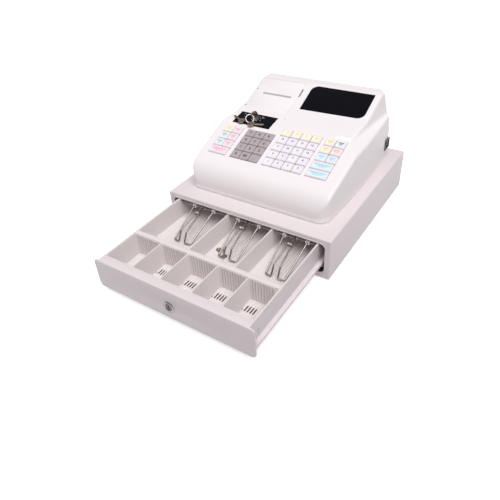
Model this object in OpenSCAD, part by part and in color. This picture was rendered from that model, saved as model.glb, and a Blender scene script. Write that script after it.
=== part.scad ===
// Electronic cash register: a keyboard and printer housing on a sheet-steel cash drawer.
// Drawn with the drawer open. X is to the operator's right, Y to the rear, Z up, millimetres.
// Inside the modules Y = 0 is the cabinet's front plane and Z = 0 its underside; place() moves
// that frame so that the origin is the middle of the whole footprint, on the table.

/* [Cabinet] */
// Width of the drawer cabinet
cab_w = 330; // [328:1:340]
// Depth of the drawer cabinet
cab_d = 344; // [344:1:356]
// Height of the drawer cabinet, feet not counted
cab_h = 77.5; // [77.5:0.5:82]
// Thickness of the cabinet's steel sheet
sheet = 1.2; // [1:0.1:1.2]
// Height of the rubber feet
foot_h = 3; // [2:0.5:6]

/* [Drawer] */
// How far the drawer stands open
drawer_out = 207.5; // [190:0.5:208]
// Thickness of the drawer's front panel
front_t = 3; // [2:0.5:4]
// Thickness of the till tray's walls
tray_wall = 2; // [1.5:0.1:2.5]
// Height of the bill compartments' floor
bill_floor = 28; // [25:0.5:32]
// Diameter of the bill clips' wire
clip_wire = 2.6; // [2.2:0.1:2.8]

/* [Housing] */
// Widest width of the housing
case_w = 286; // [284:1:290]
// Height of the lower case
lower_h = 9; // [8:0.5:11]
// Wall thickness of both cases
wall = 2.6; // [2.4:0.1:2.8]
// Radius of the rounded front edge
nose_r = 42; // [38:1:44]
// Slope of the key deck in degrees
deck_slope = 19.5; // [18.5:0.5:20]

/* [Keys] */
// Key spacing across the deck
pitch_x = 19.5; // [19.2:0.1:19.6]
// Key spacing up the deck
pitch_s = 18.5; // [18:0.1:18.6]
// Gap between neighbouring keys
key_gap = 1; // [0.8:0.1:1.4]
// How far a key stands out of the deck
key_proud = 2.5; // [2:0.1:3.5]
// Travel of a key
key_travel = 3; // [2:0.1:3]

/* [Display and printer] */
// Width of the display window
window_w = 126; // [110:1:128]
// Length of the display window up its slope
window_l = 61; // [50:1:62]
// Width of the printer cover
cover_w = 99; // [96:1:100]
// Width of the paper roll
paper_w = 57; // [50:1:58]
// Diameter of the paper roll
paper_d = 48; // [30:1:50]

/* [Hidden] */
$fn = 48;
eps = 0.01; // overlap that makes cuts clean
fit = 0.05; // radial clearance of a running fit
gap = 0.3; // clearance between moving faces
skin = 0.1; // clearance between fixed parts

// Drawer, in its closed position: Y = 0 is the front panel's face
lock_proud = 1.8; // how far the lock's rim stands out of the front panel
front_w = cab_w - 24;
front_z = [10.5, 67.5]; // lower and upper edge of the front panel
front_r = 8; // corner radius of the front panel
open_gap = 2; // gap round the front panel at the sides
ledge_d = 15.5; // depth of the ledge along the front panel's top
ledge_t = 2.5;
pan_x = front_w / 2 - 9; // outer half width of the pan
pan_t = 1;
pan_z = [19, 67];
pan_rear = 279.5;
runner_z = 29; // underside of the runner flange
runner_x = pan_x + 7.2; // outer face of the runner's lip
tray_x = pan_x - pan_t - 0.2;
tray_y = [ledge_d + skin, pan_rear - pan_t - 0.5];
tray_z = [pan_z[0] + pan_t, 67];
coin_floor = 22;
coin_end = 86.5; // rear of the coin compartments
cross_t = 9; // thickness of the wall between coins and bills
coin_walls = [-82.5, -26, 33.5, 89];
bill_walls = [-32, 58];
slot_count = 4; // slots in each coin pocket's floor
slot_step = 5;
slot_wide = 2;
slot_y = [59.5, 72.5]; // front and rear end of the floor slots
lock_at = [0, 35];
lock_r = 8;
rod_at = [212.5, 60]; // Y and Z of the rod that carries the bill clips
rod_r = 1.5;
clip_x = [-87.5, 8.7, 101.6];
roller_r = 8;
roller_z = runner_z - gap - roller_r;
cab_roller_y = 14;
drawer_roller_y = 268;
pin_r = 1.5;

// Slide rails and latch
rail_web = cab_w / 2 - sheet;
rail_t = 1.2;
rail_x = runner_x + 0.8;
hook_at = [312, 46]; // Y and Z of the latch hook's pivot
hook_lift = 25; // turn of the hook between holding and released
striker_y = pan_rear + 19; // centre of the striker's cross pin, drawer closed
spring_at = [45, 34]; // X and Z of the kick spring
spring_len = 78;

// Housing
widest_y = 168;
side_r = 1900; // radius of the housing's bowed sides, seen from above
case_y = [34, 338];
front_corner = 20;
rear_corner = 26;
part_z = cab_h + lower_h;
deck_at = [105.5, 146]; // a point of the deck: Y, Z
break_y = 160; // where the deck turns into the shelf
apron = [231, 177]; // where the shelf meets the window slope
window_slope = 24;
window_end = 288;
crest_r = 30;
crest_z = apron[1] + (window_end - apron[0]) * tan(window_slope) + crest_r * (1 - cos(window_slope));
ridge_y = 318;
ridge_r = 8;
lean_z = 112; // where the rear wall starts to lean forward
ledge_x = [122, 131]; // right edge of the hump at the front and at the rear
ledge_y = [200, 312];
ledge_z = 165.5;
ledge_fall = 22; // outward slope of the ledge, degrees
flank_draft = 9; // inward lean of the hump's right flank
steep_turn = 36.7; // direction in which the steep rear right corner faces, from X towards Y
steep_reach = 299; // distance of that corner's plane from the origin, at steep_z
steep_z = 129;
steep_lean = 12.7;
screw_y = [62, 270];
screw_r = 1.7;
boss_r = 5;

// Key blocks: [middle X, columns, rows]
s_low = -32; // lower edge of the key blocks, along the deck
block_a = [-103.5, 2, 4];
block_b = [-45.5, 3, 4];
block_c = [31.6, 4, 5];
block_d = [97.2, 2, 5];
blocks = [block_a, block_b, block_c, block_d];
key_deep = 4.5; // how far a key reaches below the deck
board_top = 8.4; // depth of the keyboard circuit board
board_t = 1.6;
window_gap = 0.6; // clearance between a key block and its opening
window_x = -14; // left edge of the display window
label_at = [103.2, 169];

// Mode switch panel
panel_at = [154, 164];
panel_slope = 10.6;
panel_x = [-118, -37];
panel_l = 37;
panel_t = 1.6;
mode_at = [-78.6, 19.9];
plug_r = 4;
ring_at = [-83.2, 10.1, 6.8]; // middle of the key ring
ring_r = 7.7;
ring_wire = 0.7;

// Printer
cover_x = -32 - cover_w / 2;
cover_y = [204.6, 292];
cover_t = 2.4;
hinge_y = cover_y[0] + gap + cover_t;
hinge_pin = 1.3;
slot_s = 29; // paper slot, up the window slope
slot_l = 3; // length of the slot along the slope
slot_x = -82.5;
slot_w = 63;
roll_at = [236, 138];
platen_at = [262, 175];
platen_r = 5.5;
spindle_r = 6;
frame_x = [-122, -44];
frame_t = 2;

switch_at = [306, 105]; // Y and Z of the power switch
switch_w = 21;
switch_h = 20;
inlet_at = [70, 101];
inlet_w = 24;
inlet_h = 16;

mid_y = (cab_d - drawer_out - lock_proud) / 2;

function deck_z(y) = deck_at[1] + (y - deck_at[0]) * tan(deck_slope);
function half_w(y) = case_w / 2 - pow(y - widest_y, 2) / 2 / side_r;
function shelf_z(y) = deck_z(break_y) + (y - break_y) * (apron[1] - deck_z(break_y)) / (apron[0] - break_y);
function arc(c, r, a0, a1, n) = [for (i = [0:n]) let (a = a0 + (a1 - a0) * i / n) c + r * [cos(a), sin(a)]];

// Side outline of the housing, moved inwards by t
function side_view(t) = let (
        y0 = case_y[0] + t, y1 = case_y[1] - t, r = nose_r - t,
        nose = [case_y[0] + nose_r, deck_z(case_y[0] + nose_r) - nose_r / cos(deck_slope)],
        shelf_a = atan2(apron[1] - deck_z(break_y), apron[0] - break_y),
        crest = [window_end + crest_r * sin(window_slope), crest_z - crest_r],
        lean_a = atan2(ridge_y + ridge_r - case_y[1], crest_z - ridge_r - lean_z),
        ridge = [ridge_y - ridge_r, crest_z - ridge_r])
    concat([[y0, cab_h + t]],
        arc(nose, r, 180, 90 + deck_slope, 9),
        [[break_y, deck_z(break_y)] + t * [sin((deck_slope + shelf_a) / 2), -cos((deck_slope + shelf_a) / 2)],
         apron + t * [sin((window_slope + shelf_a) / 2), -cos((window_slope + shelf_a) / 2)]],
        arc(crest, crest_r - t, 90 + window_slope, 90, 4),
        arc(ridge, ridge_r - min(t, ridge_r - 1), 90, -lean_a, 4),
        [[y1, lean_z], [y1, cab_h + t]]);

module place() { translate([0, -mid_y, foot_h]) children(); }
module drawer() { place() translate([0, -drawer_out, 0]) children(); }
// Frames that lie on the key deck, the mode panel and the window slope: X across, Y up the slope
module on_deck(x = 0, s = 0) tilted(deck_at, deck_slope, x, s) children();
module on_panel(x = 0, s = 0) tilted(panel_at, panel_slope, x, s) children();
module on_slope(x = 0, s = 0) tilted(apron, window_slope, x, s) children();
module tilted(at, slope, x, s) {
    translate([0, at[0], at[1]]) rotate([slope, 0, 0]) translate([x, s, 0]) children();
}
module both() { children(); mirror([1, 0, 0]) children(); }

// A box from its lowest and highest corner
module block(a, b) { translate(a) cube(b - a); }
// A cylinder along X through [y, z] from x0 to x1
module rod(x0, x1, yz, r) { translate([x0, yz[0], yz[1]]) rotate([0, 90, 0]) cylinder(h = x1 - x0, r = r); }
// A cylinder with round ends between two points
module wire(a, b, r) {
    d = b - a;
    l = norm(d);
    translate(a) rotate([0, acos(d[2] / l), atan2(d[1], d[0])]) cylinder(h = l, r = r, $fn = 24);
    translate(a) sphere(r = r, $fn = 24);
    translate(b) sphere(r = r, $fn = 24);
}
// A rectangle with round corners, its corner at a and b
module round_rect(a, b, r) {
    translate(a + [r, 0]) square(b - a - [2 * r, 0]);
    translate(a + [0, r]) square(b - a - [0, 2 * r]);
    for (x = [a[0] + r, b[0] - r], y = [a[1] + r, b[1] - r]) translate([x, y]) circle(r = r);
}
// Extrudes an XZ outline along Y from y0 to y1
module along_y(y0, y1) { translate([0, y1, 0]) rotate([90, 0, 0]) linear_extrude(y1 - y0) children(); }
// Extrudes a YZ outline along X from x0 to x1
module along_x(x0, x1) { translate([x0, 0, 0]) rotate([90, 0, 90]) linear_extrude(x1 - x0) children(); }

// ---- Cabinet ----

module cabinet_shell() place() color("whitesmoke") {
    w = cab_w / 2;
    top_r = 3;
    difference() {
        along_y(0, cab_d) {
            translate([-w, 0]) square([cab_w, cab_h - top_r]);
            translate([-w + top_r, 0]) square([cab_w - 2 * top_r, cab_h]);
            for (x = [-w + top_r, w - top_r]) translate([x, cab_h - top_r]) circle(r = top_r);
        }
        along_y(sheet, cab_d - sheet) translate([-rail_web, -1]) square([2 * rail_web, cab_h - sheet + 1]);
        along_y(-1, sheet + 1) round_rect([-front_w / 2 - open_gap, front_z[0] - 1],
            [front_w / 2 + open_gap, front_z[1] + 1], front_r + 1);
    }
    // pin on the rear wall that carries the kick spring
    translate([spring_at[0], cab_d - sheet + eps, spring_at[1]]) rotate([90, 0, 0]) cylinder(h = 16, r = 6);
}

module cabinet_base() place() color("silver")
    block([-rail_web, sheet, 0], [rail_web, cab_d - sheet, sheet]);

module cabinet_feet() place() color("dimgray")
    for (x = [-cab_w / 2 + 24, cab_w / 2 - 24], y = [24, cab_d - 24])
        translate([x, y, -foot_h]) cylinder(h = foot_h, r = 9);

module slide_rails() place() color("silver") both() {
    floor_z = roller_z - roller_r - gap;
    top_z = roller_z + roller_r + gap;
    block([rail_web - rail_t, sheet + 0.8, floor_z - rail_t], [rail_web, cab_d - 14, top_z + rail_t]);
    block([rail_x, 24, floor_z - rail_t], [rail_web - rail_t + eps, cab_d - 14, floor_z]);
    block([rail_x, 24, top_z], [rail_web - rail_t + eps, cab_d - 14, top_z + rail_t]);
    // stop that holds the drawer's roller at full opening
    stop_y = drawer_roller_y - drawer_out - roller_r - 0.6;
    block([rail_x, stop_y - 8, floor_z - eps], [rail_x + 6, stop_y, floor_z + 5]);
    rod(pan_x + 0.8, rail_web - rail_t + eps, [cab_roller_y, roller_z], pin_r);
    // feet that stand the rail on the base plate
    for (y = [40, cab_d - 50])
        block([rail_web - 6, y, sheet], [rail_web - rail_t + eps, y + 30, floor_z - rail_t + eps]);
}

module latch_solenoid() place() color("gray") {
    coil_y = hook_at[0] + 14;
    // bracket with two ears that carry the hook's pin
    block([-16, hook_at[0] - 8, sheet], [16, coil_y + 12, sheet + 2]);
    both() block([9, hook_at[0] - 8, sheet + 2 - eps], [11, hook_at[0] + 6, hook_at[1] + 5]);
    rod(-9 - eps, 9 + eps, hook_at, 2);
    translate([0, coil_y, sheet + 2 - eps]) cylinder(h = 30, r = 10);
    translate([0, coil_y, sheet + 2]) cylinder(h = hook_at[1] - sheet - 2 - 2, r = 4);
}

// Compression spring that pushes the closed drawer open: a wire swept along a helix
module kick_spring() place() color("silver") {
    turns = 9;
    steps = 14;
    sides = 6;
    coil_r = 8;
    wire_r = 1;
    n = turns * steps;
    y1 = cab_d - sheet - wire_r - 0.2;
    rise = (spring_len - 2 * wire_r) / n;
    centre = [for (i = [0:n]) let (a = 360 * i / steps)
        [spring_at[0] + coil_r * cos(a), y1 - rise * i, spring_at[1] + coil_r * sin(a)]];
    pts = [for (i = [0:n], j = [0:sides - 1]) let (a = 360 * i / steps, b = 360 * j / sides)
        centre[i] + wire_r * [cos(b) * cos(a), sin(b), cos(b) * sin(a)]];
    faces = concat([[for (j = [0:sides - 1]) j]],
        [for (i = [0:n - 1], j = [0:sides - 1]) let (k = (j + 1) % sides)
            [i * sides + k, i * sides + j, (i + 1) * sides + j, (i + 1) * sides + k]],
        [[for (j = [sides - 1:-1:0]) n * sides + j]]);
    polyhedron(pts, faces);
}

module cabinet_rollers() place() color("gainsboro") both()
    difference() {
        rod(pan_x + 1.2, pan_x + 5.6, [cab_roller_y, roller_z], roller_r);
        rod(pan_x, pan_x + 7, [cab_roller_y, roller_z], pin_r + fit);
    }

// The hook as it holds the closed drawer
module hook_shape() {
    z_bar = hook_at[1];
    difference() {
        union() {
            rod(-8.5, 8.5, hook_at, 4.5);
            block([-3, striker_y - 8, z_bar - 3], [3, hook_at[0], z_bar + 3]);
            block([-3, striker_y - 8, z_bar - 22], [3, striker_y - 3.2, z_bar + 3]);
            translate([0, hook_at[0], z_bar]) rotate([hook_lift, 0, 0]) block([-7, 0, -1], [7, 24, 1]);
        }
        rod(-10, 10, hook_at, 2 + fit);
    }
}

// Drawn released, with its tail down on the solenoid
module latch_hook() place() color("silver")
    translate([0, hook_at[0], hook_at[1]]) rotate([-hook_lift, 0, 0])
        translate([0, -hook_at[0], -hook_at[1]]) hook_shape();

// ---- Housing ----

// The housing's outline from above, moved inwards by t
module plan(t = 0) {
    difference() {
        intersection() {
            translate([case_w / 2 - side_r, widest_y]) circle(r = side_r - t, $fn = 720);
            translate([side_r - case_w / 2, widest_y]) circle(r = side_r - t, $fn = 720);
            translate([-case_w, case_y[0] + t]) square([2 * case_w, case_y[1] - case_y[0] - 2 * t]);
        }
        for (m = [0, 1]) mirror([m, 0]) {
            corner_cut(case_y[0] + front_corner, front_corner, t, -1);
            corner_cut(case_y[1] - rear_corner, rear_corner, t, 1);
        }
    }
}
// What is left of a square corner outside its quarter circle
module corner_cut(y, r, t, dir) {
    translate([half_w(y) - r, y]) difference() {
        translate([0, dir > 0 ? 0 : -r - 30]) square([r + 30, r + 30]);
        circle(r = r - t);
    }
}

// The room above the ledge beside the hump and behind the steep rear corner, to cut away
module ledge_cut(t = 0) {
    flank = atan2(ledge_x[1] - ledge_x[0], ledge_y[1] - ledge_y[0]);
    translate([ledge_x[0] - t, ledge_y[0], ledge_z - t]) rotate([0, 0, -flank]) intersection() {
        rotate([0, -flank_draft, 0]) translate([0, -140, -60]) cube([110, 400, 160]);
        rotate([0, ledge_fall, 0]) translate([-90, -140, 0]) cube([180, 400, 180]);
    }
    rotate([0, 0, steep_turn]) translate([steep_reach - t, 0, steep_z]) rotate([0, -steep_lean, 0])
        translate([0, -300, -60]) cube([200, 600, 200]);
}

module housing(t) {
    difference() {
        intersection() {
            along_x(-case_w, case_w) polygon(side_view(t));
            translate([0, 0, cab_h + t]) linear_extrude(200) plan(t);
        }
        ledge_cut(t);
    }
}

// Screw bosses, standing against the side walls
module at_screws() {
    both() for (y = screw_y) translate([half_w(y) - wall - boss_r + 1, y, 0]) children();
}

module switch_hole() {
    block([case_w / 2 - 20, switch_at[0] - switch_w / 2 + 1, switch_at[1] - switch_h / 2 + 1],
        [case_w, switch_at[0] + switch_w / 2 - 1, switch_at[1] + switch_h / 2 - 1]);
}
module lower_case() place() color("whitesmoke") {
    difference() {
        translate([0, 0, cab_h]) linear_extrude(lower_h) plan();
        translate([0, 0, cab_h + wall]) linear_extrude(lower_h) plan(wall);
        at_screws() translate([0, 0, cab_h - 1]) cylinder(h = 10, r = screw_r + 0.3);
        at_screws() translate([0, 0, cab_h - 1]) cylinder(h = 1 + 2.3, r = 3.7);
    }
    difference() {
        at_screws() translate([0, 0, cab_h + 2.3]) cylinder(h = lower_h - 2.3, r = boss_r);
        at_screws() translate([0, 0, cab_h - 1]) cylinder(h = lower_h + 2, r = screw_r + 0.3);
        difference() {
            translate([0, 0, cab_h - 1]) linear_extrude(lower_h + 2) square([2 * case_w, 900], center = true);
            translate([0, 0, cab_h - 2]) linear_extrude(lower_h + 4) plan(0.5);
        }
    }
    // posts under the main board
    for (x = [-30, 110], y = [118, 222]) translate([x, y, cab_h + wall - eps]) cylinder(h = lower_h, r = 3.5);
}

module upper_case() place() color("snow") {
    difference() {
        union() {
            difference() {
                intersection() { housing(0); block([-200, 0, part_z], [200, 400, 300]); }
                housing_room();
            }
            // bosses for the case screws
            intersection() {
                at_screws() translate([0, 0, part_z]) cylinder(h = 26, r = boss_r);
                housing(1);
            }
            // bosses that hold the keyboard board
            for (x = [-79.4, -11.8, 74], s = [-20, 34]) on_deck(x, s)
                translate([0, 0, -board_top]) cylinder(h = board_top - wall + 0.5, r = 2.6);
            // thick rim that carries the printer cover and its hinge
            intersection() {
                along_x(cover_x - cover_w / 2 - 3.4, cover_x + cover_w / 2 + 8) difference() {
                    polygon(side_view(wall - 0.2));
                    polygon(side_view(wall + 2.6));
                }
                block([-200, cover_y[0] - 3.4, 150], [200, cover_y[1] + 3.4, 300]);
            }
        }
        at_screws() translate([0, 0, part_z - 1]) cylinder(h = 20, r = screw_r + fit);
        for (b = blocks) key_window(b);
        // seat of the mode panel and hole for its lock
        on_panel() block([panel_x[0] - skin, -skin, -panel_t], [panel_x[1] + skin, panel_l + skin, 10]);
        on_panel(mode_at[0], mode_at[1]) translate([0, 0, -20]) cylinder(h = 30, r = 6.2);
        // seat of the display window and the opening behind it
        on_slope() translate([0, 0, -1.6]) linear_extrude(20) window_outline(skin);
        on_slope() block([window_x + 8, 9, -10], [window_x + window_w - 8, window_l - 8, 10]);
        printer_opening();
        switch_hole();
        translate([inlet_at[0] - inlet_w / 2, 300, inlet_at[1] - inlet_h / 2]) cube([inlet_w, 60, inlet_h]);
    }
    // label plate above the right key block
    shelf_a = atan2(apron[1] - deck_z(break_y), apron[0] - break_y);
    translate([0, break_y, deck_z(break_y)]) rotate([shelf_a, 0, 0])
        translate([label_at[0] - 14, label_at[1] - break_y - 3.6, -0.5]) cube([28, 10.6, 1.1]);
}
// The room inside the upper case, open below
module housing_room() {
    intersection() {
        housing(wall);
        block([-200, 0, part_z - 10], [200, 400, 300]);
    }
}

// Opening of a key block, square to the deck
module key_window(b) {
    w = b[1] * pitch_x / 2;
    on_deck() block([b[0] - w + key_gap / 2 - window_gap, s_low + key_gap / 2 - window_gap, -12],
        [b[0] + w - key_gap / 2 + window_gap, s_low + b[2] * pitch_s - key_gap / 2 + window_gap, 12]);
}

hinge_at = [hinge_y, shelf_z(hinge_y)] + cover_t * [sin(9.5), -cos(9.5)];
cover_l = cover_x - cover_w / 2;
cover_r = cover_x + cover_w / 2;

module printer_opening() {
    // seat of the cover, as deep as the cover is thick
    intersection() {
        along_x(cover_l - gap, cover_r + gap) difference() {
            translate([150, 120]) square([200, 120]);
            polygon(side_view(cover_t + gap));
        }
        block([-200, cover_y[0], 150], [200, cover_y[1] + gap, 300]);
    }
    block([cover_l + 6, hinge_at[0] + cover_t + 4, 140], [cover_r - 6, cover_y[1] - 6, 300]);
    rod(cover_l - gap, cover_r + gap, hinge_at, cover_t + gap);
    rod(cover_l - 3, cover_r + 3, hinge_at, hinge_pin + fit);
    // finger notch beside the cover
    on_slope() block([cover_r, 39, -3.6], [cover_r + 4.5, 60, 6]);
}

module printer_cover() place() color("snow") {
    difference() {
        union() {
            intersection() {
                along_x(cover_l, cover_r) difference() {
                    polygon(side_view(0));
                    polygon(side_view(cover_t));
                }
                block([-200, hinge_at[0], 150], [200, cover_y[1], 300]);
            }
            rod(cover_l, cover_r, hinge_at, cover_t);
            rod(cover_l - 2.6, cover_r + 2.6, hinge_at, hinge_pin);
        }
        on_slope(slot_x, slot_s) translate([-slot_w / 2, -slot_l / 2, -8]) cube([slot_w, slot_l, 16]);
    }
}

// Toothed strip under the rear edge of the paper slot
module tear_bar() place() color("silver") {
    teeth = 42;
    step = slot_w / teeth;
    x0 = slot_x - slot_w / 2;
    on_slope() translate([0, 0, -cover_t - 0.7]) linear_extrude(0.6) {
        translate([x0 - 2, slot_s + slot_l / 2]) square([slot_w + 4, 5]);
        polygon(concat([for (i = [0:2 * teeth]) [x0 + i * step / 2, slot_s + (i % 2 == 0 ? 1.5 : 0.4)]],
            [[x0 + slot_w, slot_s + 2], [x0, slot_s + 2]]));
    }
}

module keyboard_board() place() color("darkgreen")
    on_deck() translate([0, 0, -board_top - board_t])
        block([-126, s_low - 2, 0], [120, s_low + 5 * pitch_s + 2, board_t - eps]);

module main_board() place() color("darkgreen") {
    z = part_z + wall - eps;
    block([-38, 108, z], [122, 232, z + board_t]);
    for (p = [[0, 130, 30, 22, 3], [60, 150, 24, 24, 3], [-20, 190, 18, 30, 12], [90, 200, 20, 14, 10]])
        translate([p[0], p[1], z + board_t - eps]) cube([p[2], p[3], p[4]]);
}

module transformer() place() color("dimgray") {
    z = cab_h + wall;
    block([56, 262, z], [116, 306, z + 3]);
    block([66, 264, z + 3 - eps], [106, 304, z + 36]);
    block([60, 274, z + 6], [112, 294, z + 30]);
}

module mains_inlet() place() color("black")
    translate([inlet_at[0], case_y[1] + 0.6, inlet_at[1]]) difference() {
        union() {
            translate([-inlet_w / 2 - 2, -0.6, -inlet_h / 2 - 2]) cube([inlet_w + 4, 0.6, inlet_h + 4]);
            translate([-inlet_w / 2 + skin, -18, -inlet_h / 2 + skin])
                cube([inlet_w - 2 * skin, 18, inlet_h - 2 * skin]);
        }
        for (x = [-4.4, 4.4]) translate([x, 1, 0]) rotate([90, 0, 0]) cylinder(h = 13, r = 4.2);
    }

module window_outline(c = 0) {
    r = 14;
    difference() {
        translate([window_x - c, 1 - c]) square([window_w + 2 * c, window_l + 2 * c]);
        window_corner([window_x - c + r, 1 + c + window_l - r], r, -1, 1);
        window_corner([window_x + c + window_w - r, 1 - c + r], r, 1, -1);
    }
}
module window_corner(c, r, sx, sy) {
    translate(c) difference() {
        translate([sx > 0 ? 0 : -r - 1, sy > 0 ? 0 : -r - 1]) square(r + 1);
        circle(r = r);
    }
}
module display_window() place() color("#101014")
    on_slope() translate([0, 0, -1.6]) linear_extrude(1.9) window_outline();

module mode_panel() place() color("#17171c")
    difference() {
        on_panel() block([panel_x[0], 0, -panel_t], [panel_x[1], panel_l, 0]);
        on_panel(mode_at[0], mode_at[1]) translate([0, 0, -5]) cylinder(h = 10, r = 6.2);
    }

module mode_lock() place() color("silver")
    on_panel(mode_at[0], mode_at[1]) difference() {
        union() {
            translate([0, 0, -16]) cylinder(h = 16, r = 6);
            cylinder(h = 1.2, r = 7.6);
        }
        translate([0, 0, -20]) cylinder(h = 30, r = plug_r + fit);
    }

bow_a = 55; // turn of the inserted key's flat bow about the lock
module mode_key() place() color("silver")
    on_panel(mode_at[0], mode_at[1]) {
        translate([0, 0, -15]) cylinder(h = 16.6, r = plug_r);
        rotate([0, 0, bow_a]) difference() {
            translate([0, 0.8, 0]) rotate([90, 0, 0]) linear_extrude(1.6) {
                translate([-3.2, 1.6]) square([6.4, 5]);
                translate([0, 11.5]) circle(r = 8);
            }
            translate([-3.9, 5, 9.4]) rotate([90, 0, 0]) cylinder(h = 10, r = 2.2);
        }
    }

// The key ring, hung through the inserted key's bow, with two spare keys lying on the panel
module spare_keys() place() color("darkkhaki")
    on_panel() {
        translate(ring_at) rotate([0, 45, -47])
            rotate_extrude() translate([ring_r, 0]) circle(r = ring_wire, $fn = 20);
        spare_key([-99, 4, 2.3], 156);
        spare_key([-75, 0.5, 2.3], 12);
    }
spare_l = 21; // how far a spare key's blade reaches out of its bow
// A flat key whose bow has a hole for the ring; its blade points along X
module spare_key(at, turn) {
    translate(at) rotate([0, 0, turn]) linear_extrude(1.8) difference() {
        union() {
            circle(r = 7);
            translate([5, -2.2]) square([spare_l, 4.4]);
            for (x = [12, 16, 20]) translate([x, 1]) square([2.4, 2.2]);
        }
        translate([-3.4, 0]) circle(r = 2);
    }
}

module printer_frame() place() color("dimgray") {
    z0 = 110;
    side = [[206, z0], [286, z0], [286, 184], [268, 184], [252, 178], [246, 156], [206, 156]];
    difference() {
        for (x = frame_x) along_x(x - frame_t / 2, x + frame_t / 2) polygon(side);
        rod(-130, -30, platen_at, 2.5 + fit);
    }
    block([frame_x[0] - 1, 206, z0 - 2], [frame_x[1] + 1, 286, z0 + eps]);
    rod(frame_x[0], frame_x[1], roll_at, spindle_r);
    // thermal print head
    block([frame_x[0] + 1 - eps, 247, 160], [frame_x[1] - 1 + eps, 253, 178]);
    for (x = frame_x, y = [212, 280])
        translate([x, y, cab_h + wall]) cylinder(h = z0 - 2 - cab_h - wall + eps, r = 3.5);
}

module platen_roller() place() color("black") {
    rod(frame_x[0] + 8, frame_x[1] - 8, platen_at, platen_r);
    rod(frame_x[0] - 4, frame_x[1] + 4, platen_at, 2.5);
}

module paper_roll() place() color("white")
    difference() {
        x0 = (frame_x[0] + frame_x[1] - paper_w) / 2;
        rod(x0, x0 + paper_w, roll_at, paper_d / 2);
        rod(x0 - 1, x0 + paper_w + 1, roll_at, spindle_r + fit);
    }

// Power switch on the right side wall, square to X
bezel_x = half_w(switch_at[0] - switch_w / 2 - 1) - 1.35;
rocker_r = 20; // radius of the rocker's hollow face
module switch_bezel() place() color("black") {
    difference() {
        union() {
            block([bezel_x - 14, switch_at[0] - switch_w / 2 + 1.1, switch_at[1] - switch_h / 2 + 1.1],
                [bezel_x + 1.4, switch_at[0] + switch_w / 2 - 1.1, switch_at[1] + switch_h / 2 - 1.1]);
            block([bezel_x + 1.39, switch_at[0] - switch_w / 2 - 0.6, switch_at[1] - switch_h / 2 - 0.6],
                [bezel_x + 3, switch_at[0] + switch_w / 2 + 0.6, switch_at[1] + switch_h / 2 + 0.6]);
        }
        block([bezel_x - 12, switch_at[0] - switch_w / 2 + 3, switch_at[1] - switch_h / 2 + 3],
            [bezel_x + 5, switch_at[0] + switch_w / 2 - 3, switch_at[1] + switch_h / 2 - 3]);
        translate([bezel_x - 4, switch_at[0], switch_at[1] - switch_h / 2])
            cylinder(h = switch_h, r = 1.2 + fit);
    }
}
rocker_tilt = 7;
module power_rocker() place() color("black")
    translate([bezel_x - 4, switch_at[0], switch_at[1]]) rotate([0, 0, rocker_tilt]) {
        half = switch_h / 2 - 3.4;
        difference() {
            translate([-3, -switch_w / 2 + 4.2, -half]) cube([10.6, switch_w - 8.4, 2 * half]);
            translate([rocker_r + 5.6, 0, -20]) cylinder(h = 40, r = rocker_r);
        }
        translate([0, 0, -half - 2]) cylinder(h = 2 * half + 4, r = 1.2);
    }

module case_screws() place() color("silver") at_screws() {
    translate([0, 0, cab_h + 0.1]) cylinder(h = 2.1, r = 3.3);
    translate([0, 0, cab_h + 2]) cylinder(h = lower_h + 12, r = screw_r);
}

// ---- Drawer ----

module drawer_front() drawer() color("lightgray") {
    difference() {
        union() {
            along_y(0, front_t) round_rect([-front_w / 2, front_z[0]], [front_w / 2, front_z[1]], front_r);
            block([-pan_x, front_t - eps, front_z[1] - ledge_t], [pan_x, ledge_d - skin, front_z[1]]);
        }
        translate([lock_at[0], -1, lock_at[1]]) rotate([-90, 0, 0]) cylinder(h = 6, r = lock_r + skin);
    }
}

module drawer_pan() drawer() color("gainsboro") {
    top_front = front_z[1] - ledge_t;
    block([-pan_x, front_t, pan_z[0]], [pan_x, pan_rear, pan_z[0] + pan_t]);
    both() {
        block([pan_x - pan_t, front_t, pan_z[0]], [pan_x, ledge_d, top_front]);
        block([pan_x - pan_t, ledge_d - eps, pan_z[0]], [pan_x, pan_rear, pan_z[1]]);
        // runner with its turned-down lip
        block([pan_x - eps, front_t, runner_z], [runner_x, pan_rear, runner_z + 1.2]);
        block([runner_x - 1.1, front_t, runner_z - 3.5], [runner_x, pan_rear, runner_z + 1.2]);
        rod(pan_x - eps, rail_x + 7.4, [drawer_roller_y, roller_z], pin_r);
    }
    block([-pan_x, ledge_d - pan_t, pan_z[0]], [pan_x, ledge_d, top_front]);
    block([-pan_x, pan_rear - pan_t, pan_z[0]], [pan_x, pan_rear, pan_z[1]]);
    // striker: a cross pin between two arms
    both() block([9, pan_rear - eps, 26], [11, striker_y + 3, 34]);
    rod(-10, 10, [striker_y, 30], 2);
}

module drawer_rollers() drawer() color("gainsboro") both()
    difference() {
        rod(rail_x + 1, rail_x + 7, [drawer_roller_y, roller_z], roller_r);
        rod(rail_x, rail_x + 8, [drawer_roller_y, roller_z], pin_r + fit);
    }

// Pockets between the given wall positions, from y0 to y1 and down to z
module pockets(walls, y0, y1, z) {
    edge = tray_x - tray_wall;
    xs = concat([-edge - tray_wall / 2], walls, [edge + tray_wall / 2]);
    for (i = [0:len(xs) - 2])
        block([xs[i] + tray_wall / 2, y0, z], [xs[i + 1] - tray_wall / 2, y1, tray_z[1] + 1]);
}

// Narrow slots through a coin pocket's floor, beginning at its left wall
module floor_slots(x) for (k = [1:slot_count])
    block([x + slot_step * k - slot_wide / 2, slot_y[0], tray_z[0] - 1],
        [x + slot_step * k + slot_wide / 2, slot_y[1], coin_floor + 1]);

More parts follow.
